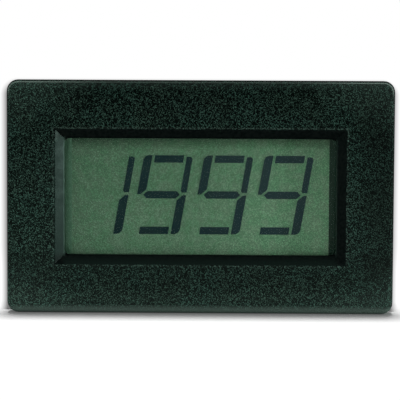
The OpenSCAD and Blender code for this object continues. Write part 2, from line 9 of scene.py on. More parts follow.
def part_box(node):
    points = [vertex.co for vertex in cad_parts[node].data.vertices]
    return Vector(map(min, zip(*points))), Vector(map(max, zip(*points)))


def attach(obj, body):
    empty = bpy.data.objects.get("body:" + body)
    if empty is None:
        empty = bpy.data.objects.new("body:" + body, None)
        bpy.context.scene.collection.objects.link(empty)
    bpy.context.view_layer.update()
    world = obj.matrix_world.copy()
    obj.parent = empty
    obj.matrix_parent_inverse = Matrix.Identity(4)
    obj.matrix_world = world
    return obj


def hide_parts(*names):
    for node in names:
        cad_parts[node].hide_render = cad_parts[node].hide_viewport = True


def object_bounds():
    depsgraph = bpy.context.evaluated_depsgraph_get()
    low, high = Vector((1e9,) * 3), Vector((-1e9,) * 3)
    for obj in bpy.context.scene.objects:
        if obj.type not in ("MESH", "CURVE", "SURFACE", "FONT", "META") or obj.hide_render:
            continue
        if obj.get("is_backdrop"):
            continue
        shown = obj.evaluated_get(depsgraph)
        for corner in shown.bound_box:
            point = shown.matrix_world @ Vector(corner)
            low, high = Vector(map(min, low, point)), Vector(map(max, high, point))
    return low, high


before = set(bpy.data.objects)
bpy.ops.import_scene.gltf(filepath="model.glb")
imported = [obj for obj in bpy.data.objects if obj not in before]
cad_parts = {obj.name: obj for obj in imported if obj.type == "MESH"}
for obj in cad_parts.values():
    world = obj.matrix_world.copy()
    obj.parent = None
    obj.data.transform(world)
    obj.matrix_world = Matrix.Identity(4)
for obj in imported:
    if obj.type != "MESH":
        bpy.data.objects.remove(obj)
cadLow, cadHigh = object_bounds()
scene = bpy.context.scene
mm = 0.001
weld = 0.0005 * mm                             # points closer than this are one
faceY = cadLow.y                               # front of the bezel
rearY = cadHigh.y                              # end of the collar
boardFrontY, backY = (corner.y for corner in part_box("circuit_board"))   # its display and component sides
window = {"halfWidth": 23.95 * mm, "halfHeight": 10.25 * mm}   # inner edge of the slope round the display
recess = {"halfWidth": 25.8 * mm, "halfHeight": 12.1 * mm}     # outer edge of that slope
white, grey = (1, 1, 1, 1), (0.5, 0.5, 0.5, 1)

view = {  # width is what the camera takes in at the aim, and the turns are in degrees
    "lens": 135, "sensor": 36, "width": 70.33 * mm, "aim": (-0.04 * mm, -3 * mm, -0.5 * mm),
    "azimuth": 0.5, "elevation": 3.7, "roll": 0.29,
}


def makeCamera():
    data = bpy.data.cameras.new("camera")
    data.lens, data.sensor_width, data.clip_start = view["lens"], view["sensor"], 0.01
    azimuth, elevation, roll = (math.radians(view[key]) for key in ("azimuth", "elevation", "roll"))
    level = math.cos(elevation)
    towards = Vector((math.sin(azimuth) * level, -math.cos(azimuth) * level, math.sin(elevation)))
    distance = view["width"] * view["lens"] / view["sensor"]
    camera = bpy.data.objects.new("camera", data)
    camera.location = Vector(view["aim"]) + towards * distance
    upright = towards.to_track_quat("Z", "Y").to_matrix()
    camera.rotation_euler = (upright @ Matrix.Rotation(roll, 3, "Z")).to_euler()
    scene.collection.objects.link(camera)
    scene.camera = camera
    print("camera set", round(distance, 4))


makeCamera()
scene.view_settings.view_transform = "Standard"


# the node helpers find the tree they work in from the sockets they are given
def treeOf(*values):
    return next(value.id_data for value in values if isinstance(value, bpy.types.NodeSocket))


def put(value, socket):
    if isinstance(value, bpy.types.NodeSocket):
        socket.id_data.links.new(value, socket)
    else:
        socket.default_value = value


def putAll(sockets, values):
    for key, value in values.items():
        put(value, sockets[key])


def addNode(tree, kind, settings=None, **inputs):
    made = tree.nodes.new(kind)
    for key, value in (settings or {}).items():
        setattr(made, key, value)
    putAll(made.inputs, inputs)
    return made


def calc(operation, a, b=0.0, clamp=False):
    made = addNode(treeOf(a, b), "ShaderNodeMath", {"operation": operation, "use_clamp": clamp})
    put(a, made.inputs[0])
    put(b, made.inputs[1])
    return made.outputs[0]


def times(*values):
    return functools.reduce(lambda a, b: calc("MULTIPLY", a, b), values)


def plus(*values):
    return functools.reduce(lambda a, b: calc("ADD", a, b), values)


def minus(a, b):
    return calc("SUBTRACT", a, b)


def absolute(value):
    return calc("ABSOLUTE", value)


def larger(a, b, clamp=False):
    return calc("MAXIMUM", a, b, clamp)


def spread(value, low, high, toLow=0.0, toHigh=1.0, kind="LINEAR"):
    made = addNode(value.id_data, "ShaderNodeMapRange", {"interpolation_type": kind})
    for socket, given in zip(made.inputs, (value, low, high, toLow, toHigh)):
        put(given, socket)
    return made.outputs[0]


def ease(value, low, high, toLow=0.0, toHigh=1.0):
    return spread(value, low, high, toLow, toHigh, "SMOOTHSTEP")


def blendColor(factor, a, b, mode="MIX"):
    made = addNode(treeOf(factor, a, b), "ShaderNodeMix", {"data_type": "RGBA", "blend_type": mode})
    for index, value in ((0, factor), (6, a), (7, b)):
        put(value, made.inputs[index])
    return made.outputs[2]


def tint(color, by):
    return blendColor(1.0, color, by, "MULTIPLY")


def dim(color, shade):
    made = addNode(shade.id_data, "ShaderNodeVectorMath", {"operation": "SCALE"}, Scale=shade)
    put(color, made.inputs[0])
    return made.outputs[0]


def noise(vector, scale, detail=2.0, roughness=0.5, distortion=0.0):
    return addNode(vector.id_data, "ShaderNodeTexNoise", None, Vector=vector, Scale=scale, Detail=detail,
                   Roughness=roughness, Distortion=distortion).outputs[0]


def objectCoords(tree):
    return tree.nodes.new("ShaderNodeTexCoord").outputs["Object"]


def axesOf(vector):
    return addNode(vector.id_data, "ShaderNodeSeparateXYZ", None, Vector=vector).outputs


def bump(height, depth):
    return addNode(height.id_data, "ShaderNodeBump", None, Height=height, Distance=depth).outputs[0]


def linear(red, green, blue):
    # a screen colour from 0 to 255 as the linear colour that a shader takes
    parts = [c / 255 for c in (red, green, blue)]
    return tuple(c / 12.92 if c <= 0.04045 else ((c + 0.055) / 1.055) ** 2.4 for c in parts) + (1.0,)


def newGroup(name, inputs, outputs):
    tree = bpy.data.node_groups.new(name, "ShaderNodeTree")
    for label, kind, default in inputs:
        socket = tree.interface.new_socket(name=label, in_out="INPUT", socket_type="NodeSocket" + kind)
        if default is not None:
            socket.default_value = default
    for label, kind in outputs:
        tree.interface.new_socket(name=label, in_out="OUTPUT", socket_type="NodeSocket" + kind)
    return tree, tree.nodes.new("NodeGroupInput").outputs, tree.nodes.new("NodeGroupOutput").inputs


def useGroup(group, **values):
    return addNode(values["Vector"].id_data, "ShaderNodeGroup", {"node_tree": group}, **values).outputs


def newMaterial(name, color=grey, roughness=0.5, metallic=0.0, specular=0.5, alpha=1.0, coat=0.0):
    # a material, the sockets of its shader, and the place that its pattern follows
    made = bpy.data.materials.new(name)
    made.use_nodes = True
    shader = made.node_tree.nodes["Principled BSDF"].inputs
    putAll(shader, {"Base Color": color, "Roughness": roughness, "Metallic": metallic,
                    "Specular IOR Level": specular, "Alpha": alpha, "Coat Weight": coat})
    return made, shader, objectCoords(made.node_tree)


def makeGrainGroup():
    # spark-eroded skin of a mould: a broken web of fine ridges between pits
    tree, given, out = newGroup(
        "spark grain", [("Vector", "Vector", None), ("Grain", "Float", 0.45 * mm),
                        ("Contrast", "Float", 1.0)], [("Height", "Float"), ("Speck", "Float")])
    scale = calc("DIVIDE", 1.0, given["Grain"])
    coarse = noise(given["Vector"], scale, 1.0, 0.5, 0.8)
    fine = noise(given["Vector"], times(scale, 1.9), 1.0)
    ridge = ease(absolute(minus(coarse, 0.5)), 0.0, calc("DIVIDE", 0.1, given["Contrast"]), 1.0, 0.0)
    fleck = ease(fine, 0.4, 0.62)
    both = plus(times(ridge, 0.45), times(fleck, 0.3))
    speck = ease(calc("ADD", both, times(ridge, fleck, 0.45), clamp=True), 0.2, 0.85)
    put(speck, out["Speck"])
    put(plus(times(speck, 0.6), times(fine, 0.4)), out["Height"])
    return tree


def makeDriftGroup():
    # slow change of colour over a surface
    tree, given, out = newGroup(
        "colour drift", [("Vector", "Vector", None), ("Patch", "Float", 6 * mm), ("First", "Color", None),
                         ("Second", "Color", None)], [("Color", "Color")])
    field = noise(given["Vector"], calc("DIVIDE", 1.0, given["Patch"]), 3.0, 0.55)
    put(blendColor(ease(field, 0.35, 0.65), given["First"], given["Second"]), out["Color"])
    return tree


def makeHandlingGroup():
    # fingered and rubbed places, as a change of roughness
    tree, given, out = newGroup(
        "handling", [("Vector", "Vector", None), ("Patch", "Float", 4 * mm), ("Low", "Float", 0.4),
                     ("High", "Float", 0.6)], [("Roughness", "Float")])
    scale = calc("DIVIDE", 1.0, given["Patch"])
    slow = noise(given["Vector"], scale)
    quick = noise(given["Vector"], times(scale, 9.0), 2.0, 0.6)
    both = plus(times(slow, 0.7), times(quick, 0.3))
    put(spread(both, 0.35, 0.65, given["Low"], given["High"]), out["Roughness"])
    return tree


grainGroup = makeGrainGroup()
driftGroup = makeDriftGroup()
handlingGroup = makeHandlingGroup()


def grainOf(coords, grain, contrast=1.0):
    return useGroup(grainGroup, Vector=coords, Grain=grain, Contrast=contrast)


def drift(coords, patch, first, second):
    return useGroup(driftGroup, Vector=coords, Patch=patch, First=first, Second=second)["Color"]


def handled(coords, patch, low, high):
    return useGroup(handlingGroup, Vector=coords, Patch=patch, Low=low, High=high)["Roughness"]


def outlineAway(axes, halfWidth, halfHeight, radius):
    # how far a point is outside an upright rounded rectangle, less than 0 inside it
    across = minus(absolute(axes["X"]), halfWidth - radius)
    along = minus(absolute(axes["Z"]), halfHeight - radius)
    squares = [calc("POWER", larger(part, 0.0), 2.0) for part in (across, along)]
    inside = calc("MINIMUM", larger(across, along), 0.0)
    return minus(plus(calc("SQRT", plus(*squares)), inside), radius)


mouldGloss = (0.6, 1.0, 0.85, 1)               # the tint of light that the dark green moulding reflects
bezelFinish = {
    "grain": 0.42 * mm, "contrast": 1.2, "relief": 0.03 * mm, "specular": 0.02, "pit": linear(0, 3, 2),
    "speck": linear(63, 97, 85), "patch": 5 * mm, "warm": (1, 0.88, 0.86, 1),
    "roughPit": 0.7, "roughSpeck": 0.45,
    # painted light and shade: how bright each place is, and where it starts and ends
    "shadeTop": 0.4, "shadeFoot": 0.84, "shadeRight": 0.52, "shadeSill": 0.66, "cornerShade": 0.38,
    "corner": (0.45, 0.9), "right": (0.74, 0.9), "sill": (2.5 * mm, 6 * mm), "sillEnd": (8 * mm, 11 * mm),
    # how strongly each place gets painted light
    "paintedLight": linear(84, 102, 94), "footLight": 0.05, "cornerLight": 0.07, "browLight": 0.06, "sillLight": 0.05,
    "footEdgeLight": 0.9, "rimHighlight": 0.35, "rimWidth": 0.22 * mm, "rimRadius": 0.1 * mm,
    "glint": linear(112, 128, 120), "glintIn": 0.42 * mm, "glintWidth": 0.16 * mm, "glintCorner": 0.6,
    "glintLevel": 0.2, "outline": linear(7, 11, 10), "outlineDark": 0.85, "outlineWidth": 0.3 * mm,
    "outlineEdge": 0.1 * mm, "outlineRadius": 2 * mm,
}


def makeBezelMaterial():
    look, foot, top, right = bezelFinish, cadLow.z, cadHigh.z, cadHigh.x
    made, shader, coords = newMaterial("bezel plastic", specular=look["specular"])
    axes = axesOf(coords)
    x, z = axes["X"], axes["Z"]
    grain = grainOf(coords, look["grain"], look["contrast"])
    color = blendColor(grain["Speck"], look["pit"], look["speck"])
    color = tint(color, drift(coords, look["patch"], white, look["warm"]))
    # painted shade: the skin is painted darker at the top, on the right and close under the window, and
    # painted lighter at the corners
    corner = times(calc("DIVIDE", absolute(x), right), calc("DIVIDE", absolute(z), top))
    corner = ease(corner, *look["corner"])
    down = spread(z, top, foot)
    sill = ease(z, *(foot + up for up in look["sill"]), 1.0, look["shadeSill"])
    shade = times(spread(down, 0.0, 1.0, look["shadeTop"], look["shadeFoot"]),
                  ease(x, *(part * right for part in look["right"]), 1.0, look["shadeRight"]),
                  larger(sill, spread(z, *(foot + up for up in look["sillEnd"]))))
    shade = plus(shade, times(corner, look["cornerShade"]))
    # painted light: lighter towards the foot, at the corners, close under the top edge, close above the foot
    # and strongly along the bottom edge, with a painted highlight round the rim of the recess
    paintedLit = plus(times(down, look["footLight"]), times(corner, look["cornerLight"]),
                ease(z, top - 2 * mm, top - 0.8 * mm, 0.0, look["browLight"]),
                ease(z, foot + 5 * mm, foot + 2 * mm, 0.0, look["sillLight"]))
    rim = absolute(outlineAway(axes, recess["halfWidth"], recess["halfHeight"], look["rimRadius"]))
    rim = ease(rim, 0.0, look["rimWidth"], look["rimHighlight"], 0.0)
    rim = times(rim, spread(grain["Speck"], 0.0, 0.8, 0.2, 1.0))
    edge = ease(z, foot + 2 * mm, foot + 0.2 * mm, 0.0, look["footEdgeLight"])
    color = blendColor(larger(larger(rim, edge), paintedLit, clamp=True), dim(color, shade), look["paintedLight"])
    # a thin painted glint follows the upper outline just inside its edge, and the outer edge gets painted
    # dark shade along the top and down the sides
    border = outlineAway(axes, right, top, look["outlineRadius"])
    line = ease(absolute(plus(border, look["glintIn"])), 0.0, look["glintWidth"], 1.0, 0.0)
    level = plus(times(corner, look["glintCorner"]), look["glintLevel"])
    line = calc("MULTIPLY", times(line, ease(z, 0.84 * top, 0.94 * top)), level, clamp=True)
    dark = times(ease(border, -look["outlineWidth"], -look["outlineEdge"], 0.0, look["outlineDark"]),
                 ease(z, -0.8 * top, -0.3 * top))
    color = blendColor(dark, blendColor(line, color, look["glint"]), look["outline"])
    putAll(shader, {"Base Color": color, "Normal": bump(grain["Height"], look["relief"]),
                    "Roughness": spread(grain["Speck"], 0.0, 1.0, look["roughPit"], look["roughSpeck"]),
                    "Specular Tint": mouldGloss})
    return made


surroundFinish = {
    "dark": linear(0, 2, 2), "drift": linear(8, 12, 11), "patch": 0.5 * mm, "litSide": linear(16, 29, 25),
    "foot": linear(11, 20, 17), "edge": linear(58, 80, 70), "specular": 0.036, "relief": 0.004 * mm,
    "skin": 2500, "rough": (0.28, 0.36), "roughPatch": 1.5 * mm, "turn": 0.4 * mm, "litReach": 0.2 * mm,
    "footIn": 0.2 * mm, "footOut": 1.2 * mm, "edgeReach": (0.06 * mm, 0.2 * mm), "edgeBreaks": 900,
}


def makeSurroundMaterial():
    # the smooth slope round the window, with painted light on its left side and on its up-facing foot, and a
    # painted highlight along its inner upright edges, stronger on the left
    look, wide, high = surroundFinish, window["halfWidth"], window["halfHeight"]
    turn = look["turn"]
    made, shader, coords = newMaterial("surround plastic", specular=look["specular"])
    axes = axesOf(coords)
    x, z, side = axes["X"], axes["Z"], absolute(axes["X"])
    upright = spread(absolute(z), high + turn, high - turn)
    level = spread(side, wide + turn, wide - turn)
    color = drift(coords, look["patch"], look["dark"], look["drift"])
    # painted light on the left slope, which faces the light
    lit = times(spread(x, -wide, -wide - look["litReach"]), upright)
    # painted light on the up-facing foot of the slope
    low = times(spread(z, -high - look["footIn"], -high - look["footOut"]), level)
    color = blendColor(low, blendColor(lit, color, look["litSide"]), look["foot"])
    # painted highlight along the inner upright edges, broken up, and brighter on the left than on the right
    edge = times(spread(absolute(minus(side, wide)), *look["edgeReach"], 1.0, 0.0), upright,
                 spread(noise(coords, look["edgeBreaks"]), 0.3, 0.6, 0.5, 1.0),
                 spread(x, 23 * mm, -23 * mm, 0.3, 1.0))
    putAll(shader, {"Base Color": blendColor(edge, color, look["edge"]), "Specular Tint": mouldGloss,
                    "Roughness": handled(coords, look["roughPatch"], *look["rough"]),
                    "Normal": bump(noise(coords, look["skin"]), look["relief"])})
    return made


plasticFinish = {"patch": 3 * mm, "fleck": 0.12, "handled": 2 * mm}
metalFinish = {"patch": 0.7 * mm, "handled": 0.5 * mm, "scratch": 6000, "relief": 0.004 * mm}


def makePlasticMaterial(name, first, second, low, high, grain=0.3, relief=0.01, specular=0.35, coat=0.0):
    # grain and relief are in millimetres
    made, shader, coords = newMaterial(name, specular=specular, coat=coat)
    skin = grainOf(coords, grain * mm)
    color = drift(coords, plasticFinish["patch"], linear(*first), linear(*second))
    putAll(shader, {"Base Color": blendColor(times(skin["Speck"], plasticFinish["fleck"]), color, grey),
                    "Roughness": handled(coords, plasticFinish["handled"], low, high),
                    "Normal": bump(skin["Height"], relief * mm)})
    return made


def makeMetalMaterial(name, first, second, low, high):
    made, shader, coords = newMaterial(name, metallic=1.0)
    putAll(shader, {"Base Color": drift(coords, metalFinish["patch"], first + (1,), second + (1,)),
                    "Roughness": handled(coords, metalFinish["handled"], low, high),
                    "Normal": bump(noise(coords, metalFinish["scratch"], 3.0, 0.6), metalFinish["relief"])})
    return made


displayFinish = {
    "film": linear(40, 62, 48), "filmAlpha": 0.06, "filmHaze": (0.32, 0.42), "filmRelief": 0.003 * mm,
    "filmPatch": 3 * mm, "filmSkin": 3200,
    "glass": linear(60, 90, 72), "glassAlpha": 0.02, "glassHaze": (0.02, 0.07), "glassPatch": 6 * mm,
    # painted light: the backing is painted darker on the left and lighter on the right
    "backingShadedLeft": linear(77, 106, 84), "backingLitRight": linear(101, 137, 108), "backingReach": 22 * mm,
    "grain": 0.34 * mm, "grainContrast": 0.8, "grainLow": 0.76, "grainHigh": 1.29, "grainRelief": 0.01 * mm,
    "patch": 1.6 * mm, "patchFirst": (1.03, 0.99, 1, 1), "patchSecond": (0.82, 0.97, 0.88, 1),
    "middle": 0.93, "middleShadeReach": 15 * mm, "shadeTop": 0.97, "shadeFoot": 1.18,
    "overhang": 1.8 * mm, "overhangShade": 0.4,
}
shadedFinish = {  # name, where it changes, its colours left and right, the drift's patch and colour, specular
    # painted shade: the glue seal is darker towards the right, in the shade of the window's right wall
    "seal": ("edge seal", (-21 * mm, 21 * mm), linear(68, 103, 81), linear(13, 36, 26),
             0.8 * mm, (0.72, 0.86, 0.8, 1), 0.2),
    # painted light: the segments are painted lighter towards the right, where more light falls
    "segment": ("dark crystal", (-6 * mm, 20 * mm), linear(22, 39, 42), linear(38, 54, 58),
                2.5 * mm, (1.2, 1.1, 1.02, 1), 0.02),
}


def makeFilmMaterial():
    look = displayFinish
    made, shader, coords = newMaterial("polarizing film", look["film"], specular=0.04,
                                       alpha=look["filmAlpha"])
    putAll(shader, {"Roughness": handled(coords, look["filmPatch"], *look["filmHaze"]),
                    "Normal": bump(noise(coords, look["filmSkin"]), look["filmRelief"])})
    return made


def makeBackingMaterial():
    # the rear glass, with the colour of the reflector film bonded to it, and painted light and shade over it
    look, top, reach = displayFinish, window["halfHeight"], displayFinish["backingReach"]
    made, shader, coords = newMaterial("backed glass", roughness=0.6, specular=0.02)
    axes = axesOf(coords)
    mottle = grainOf(coords, look["grain"], look["grainContrast"])
    color = blendColor(spread(axes["X"], -reach, reach), look["backingShadedLeft"], look["backingLitRight"])
    color = tint(color, drift(coords, look["patch"], look["patchFirst"], look["patchSecond"]))
    # painted shade: darker towards the top, with a painted shadow close under the window's upper edge, a
    # little darker in the middle, and lighter towards the foot
    shade = times(spread(axes["Z"], 9 * mm, -10 * mm, look["shadeTop"], look["shadeFoot"]),
                  spread(axes["Z"], top, top - look["overhang"], look["overhangShade"], 1.0),
                  ease(absolute(axes["X"]), 0.0, look["middleShadeReach"], look["middle"], 1.0),
                  spread(mottle["Speck"], 0.0, 1.0, look["grainLow"], look["grainHigh"]))
    putAll(shader, {"Base Color": dim(color, shade), "Normal": bump(mottle["Height"], look["grainRelief"])})
    return made


reflectorFinish = {
    "colors": (linear(176, 190, 182), linear(206, 216, 208)), "metallic": 0.6, "brush": 400, "drawn": 20,
    "rough": (0.3, 0.5), "relief": 0.004 * mm,
}


def makeReflectorMaterial():
    # brushed pearl film, bare on its rear side
    look = reflectorFinish
    made, shader, coords = newMaterial("reflector film", metallic=look["metallic"])
    brushed = addNode(coords.id_data, "ShaderNodeMapping", None, Vector=coords, Scale=(1, 1, look["drawn"]))
    grain = noise(brushed.outputs[0], look["brush"], 3.0)
    putAll(shader, {"Base Color": blendColor(grain, *look["colors"]), "Normal": bump(grain, look["relief"]),
                    "Roughness": spread(grain, 0.3, 0.7, *look["rough"])})
    return made


def makeShadedMaterial(name, reach, left, right, patch, second, specular):
    # painted light and shade: the colour changes from left to right, with a slow drift over that
    made, shader, coords = newMaterial(name, specular=specular)
    color = blendColor(spread(axesOf(coords)["X"], *reach), left, right)
    put(tint(color, drift(coords, patch, white, second)), shader["Base Color"])
    return made


def makeGlassMaterial():
    look = displayFinish
    made, shader, coords = newMaterial("cell glass", look["glass"], specular=0.01, alpha=look["glassAlpha"])
    put(handled(coords, look["glassPatch"], *look["glassHaze"]), shader["Roughness"])
    return made


stripFinish = {"pitch": 0.2 * mm, "insulating": linear(24, 24, 26), "conducting": linear(150, 150, 152)}


def makeElastomerMaterial():
    # alternate conducting and insulating layers along the strip
    made, shader, coords = newMaterial("layered elastomer", roughness=0.7, specular=0.2)
    wave = calc("SINE", times(axesOf(coords)["X"], 2 * math.pi / stripFinish["pitch"]))
    layers = ease(wave, -0.4, 0.4)
    putAll(shader, {"Base Color": blendColor(layers, stripFinish["insulating"], stripFinish["conducting"]),
                    "Normal": bump(layers, 0.01 * mm)})
    return made


boardFinish = {
    "resist": (linear(22, 84, 48), linear(30, 100, 58)),
    "laminate": (linear(176, 164, 110), linear(150, 140, 92)),
    "resistPatch": 4 * mm, "laminatePatch": 0.6 * mm, "weave": 0.9 * mm, "weaveShows": 0.12,
    "rough": (0.25, 0.42), "roughPatch": 2 * mm, "skin": 1800, "relief": 0.01 * mm,
}


def makeBoardMaterial():
    # green resist over glass cloth; the cut edges show the bare laminate
    look = boardFinish
    made, shader, coords = newMaterial("board laminate", specular=0.4)
    weave = addNode(coords.id_data, "ShaderNodeTexBrick", {"offset": 0.5}, Vector=coords,
                    Scale=1 / look["weave"], Color1=white, Color2=(0.8, 0.8, 0.8, 1),
                    Mortar=(0.4, 0.4, 0.4, 1))
    resist = drift(coords, look["resistPatch"], *look["resist"])
    resist = blendColor(look["weaveShows"], resist, weave.outputs["Color"], "MULTIPLY")
    normal = coords.node.outputs["Normal"]
    flat = spread(absolute(axesOf(normal)["Y"]), 0.6, 0.8)
    edge = drift(coords, look["laminatePatch"], *look["laminate"])
    putAll(shader, {"Base Color": blendColor(flat, edge, resist),
                    "Roughness": handled(coords, look["roughPatch"], *look["rough"]),
                    "Normal": bump(noise(coords, look["skin"]), look["relief"])})
    return made


plastics = {  # name, two colours, least and most roughness, and what differs from other plastics
    "clamp": ("clamp plastic", (26, 29, 31), (34, 37, 39), 0.42, 0.6, {"specular": 0.25}),
    "carrier": ("carrier plastic", (224, 218, 200), (212, 205, 186), 0.45, 0.6, {}),
    "chip": ("chip epoxy", (30, 30, 32), (38, 38, 39), 0.5, 0.65,
             {"grain": 0.12, "relief": 0.008, "specular": 0.3}),
    "block": ("block plastic", (24, 24, 26), (32, 32, 34), 0.4, 0.55, {"specular": 0.3}),
    "trimmer": ("trimmer plastic", (28, 82, 160), (36, 92, 172), 0.3, 0.42, {}),
    "rotor": ("rotor plastic", (232, 224, 200), (220, 210, 184), 0.4, 0.5, {}),
    "capacitor": ("capacitor epoxy", (168, 40, 26), (186, 52, 34), 0.16, 0.3,
                  {"grain": 0.8, "relief": 0.03, "specular": 0.5, "coat": 0.4}),
    "disc": ("disc lacquer", (196, 126, 48), (180, 108, 38), 0.25, 0.4,
             {"grain": 0.6, "relief": 0.02, "specular": 0.5, "coat": 0.2}),
    "track": ("covered copper", (46, 124, 68), (54, 134, 76), 0.25, 0.4, {"specular": 0.5}),
    "ink": ("legend ink", (226, 228, 222), (212, 214, 208), 0.5, 0.65, {}),
}
metals = {  # name, two colours, least and most roughness
    "tin": ("tinned wire", (0.66, 0.66, 0.66), (0.5, 0.5, 0.5), 0.25, 0.5),
    "screw": ("zinc plate", (0.6, 0.62, 0.66), (0.5, 0.53, 0.58), 0.22, 0.4),
    "pin": ("plated pin", (0.83, 0.69, 0.36), (0.76, 0.6, 0.3), 0.2, 0.34),
}
finishes = {
    "bezel": makeBezelMaterial(),
    "surround": makeSurroundMaterial(),
    "film": makeFilmMaterial(),
    "glass": makeGlassMaterial(),
    "seal": makeShadedMaterial(*shadedFinish["seal"]),
    "segment": makeShadedMaterial(*shadedFinish["segment"]),
    "backing": makeBackingMaterial(),
    "reflector": makeReflectorMaterial(),
    "elastomer": makeElastomerMaterial(),
    "board": makeBoardMaterial(),
}
finishes.update({key: makePlasticMaterial(*values, **more) for key, (*values, more) in plastics.items()})
finishes.update({key: makeMetalMaterial(*values) for key, values in metals.items()})
print("finishes made", len(finishes))


def addPiece(name, mesh, *keys):
    piece = bpy.data.objects.new(name, mesh)
    scene.collection.objects.link(piece)
    for key in keys:
        mesh.materials.append(finishes[key])
    return piece


def settle(piece):
    # turns what the modifiers make into a plain mesh
    graph = bpy.context.evaluated_depsgraph_get()
    graph.update()
    mesh = bpy.data.meshes.new_from_object(piece.evaluated_get(graph), depsgraph=graph)
    piece.modifiers.clear()
    piece.data = mesh
    mesh.name = piece.name
    return piece


def sharpen(mesh, angle):
    mesh.shade_smooth()
    mesh.set_sharp_from_angle(angle=math.radians(angle))


def smooth(piece, angle=35):
    sharpen(piece.data, angle)
    piece.modifiers.new("weigh normals", "WEIGHTED_NORMAL").keep_sharp = True
    return settle(piece)


def addBevel(piece, width, segments, angle=30, method="ANGLE"):
    bevel = piece.modifiers.new("break edges", "BEVEL")
    bevel.width, bevel.segments, bevel.limit_method = width, segments, method
    bevel.angle_limit = math.radians(angle)
    return bevel


def place(piece, body, slot, *nodes):
    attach(piece, body)
    if nodes:
        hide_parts(*nodes)
    return piece


def meshOf(bm, name):
    mesh = bpy.data.meshes.new(name)
    bm.to_mesh(mesh)
    bm.free()
    return mesh


def pieceOf(bm, name, *keys):
    return addPiece(name, meshOf(bm, name), *keys)


def merge(bm):
    bmesh.ops.remove_doubles(bm, verts=bm.verts, dist=weld)


def turnOut(bm):
    bmesh.ops.recalc_face_normals(bm, faces=bm.faces)


def loadNode(node):
    bm = bmesh.new()
    bm.from_mesh(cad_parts[node].data)
    merge(bm)
    return bm


def mergedCopy(node):
    # a clean copy of a CAD node's loose triangles
    bm = loadNode(node)
    bmesh.ops.dissolve_limit(bm, angle_limit=math.radians(0.5), verts=bm.verts, edges=bm.edges)
    return bm


def islands(node):
    # the boxes of a CAD node's separate solids, as (lowest corner, highest corner)
    bm = loadNode(node)
    left, found = set(bm.verts), []
    while left:
        stack, group = [left.pop()], []
        while stack:
            vert = stack.pop()
            group.append(vert.co.copy())
            joined = {edge.other_vert(vert) for edge in vert.link_edges} & left
            left -= joined
            stack.extend(joined)
        found.append((Vector(map(min, zip(*group))), Vector(map(max, zip(*group)))))
    bm.free()
    return sorted(found, key=lambda pair: (round(pair[0].z, 6), round(pair[0].x, 6)))


def middle(pair):
    return (pair[0] + pair[1]) / 2


def skinRows(bm, rows, capped=True):
    # joins each ring of points to the next, and closes the first and the last
    for a, b in zip(rows, rows[1:]):
        for i in range(len(a)):
            j = (i + 1) % len(a)
            bm.faces.new((a[i], a[j], b[j], b[i]))
    if capped:
        bm.faces.new(rows[0])
        bm.faces.new(rows[-1])


def latheY(bm, profile, steps, centre=Vector()):
    # turns a profile of (radius, y) points round an axis along Y; a radius of 0 closes an end
    rings = []
    for radius, y in profile:
        turns = [2 * math.pi * i / steps for i in range(steps if radius else 1)]
        points = [centre + Vector((radius * math.cos(a), y, radius * math.sin(a))) for a in turns]
        rings.append([bm.verts.new(point) for point in points])
    for first, second in zip(rings, rings[1:]):
        for i in range(steps):
            corners = [ring[k % len(ring)] for ring, k in
                       ((first, i), (first, (i + 1) % steps), (second, (i + 1) % steps), (second, i))]
            unique = list(dict.fromkeys(corners))
            if len(unique) > 2:
                bm.faces.new(unique)
    turnOut(bm)


def roundedBox(bm, low, high, radius, steps=5, across=4):
    # a box with round edges and corners, with its points closer together at the edges
    half, centre = (high - low) / 2, (high + low) / 2

    def marks(size):
        turn = [radius * (1 - math.cos(math.pi / 2 * i / steps)) for i in range(steps + 1)]
        flat = [radius + (2 * size - 2 * radius) * i / across for i in range(1, across)]
        return [-size + t for t in turn + flat] + [size - t for t in reversed(turn)]

    for axis in range(3):
        u, v = (axis + 1) % 3, (axis + 2) % 3
        for side in (-1, 1):
            grid = []
            for a in marks(half[u]):
                row = []
                for b in marks(half[v]):
                    point = [0.0, 0.0, 0.0]
                    point[axis], point[u], point[v] = side * half[axis], a, b
                    inner = Vector([max(-h + radius, min(h - radius, p)) for p, h in zip(point, half)])
                    row.append(bm.verts.new(centre + inner + (Vector(point) - inner).normalized() * radius))
                grid.append(row)
            for first, second in zip(grid, grid[1:]):
                for c in range(len(first) - 1):
                    bm.faces.new((first[c], second[c], second[c + 1], first[c + 1]))
    merge(bm)
    turnOut(bm)


def boxPart(name, low, high, radius, *keys):
    bm = bmesh.new()
    roundedBox(bm, Vector(low), Vector(high), radius, 2, 2)
    return pieceOf(bm, name, *keys)


def ribbon(bm, points, width, y, thickness, closed=False):
    # a flat strip in the board's plane along (x, z) points
    count, rows = len(points), []
    for i, point in enumerate(points):
        before = points[(i - 1) % count] if closed or i else None
        after = points[(i + 1) % count] if closed or i < count - 1 else None
        ways = [(Vector(b) - Vector(a)).normalized() for a, b in ((before, point), (point, after)) if a and b]
        way = sum(ways, Vector((0, 0))).normalized()
        side = Vector((-way.y, way.x))
        reach = side * (width / 2 / max(0.5, side.dot(Vector((-ways[0].y, ways[0].x)))))
        left, right = Vector(point) + reach, Vector(point) - reach
        corners = ((left, y), (left, y + thickness), (right, y + thickness), (right, y))
        rows.append([bm.verts.new((p.x, depth, p.y)) for p, depth in corners])
    skinRows(bm, rows + rows[:1] if closed else rows, capped=not closed)


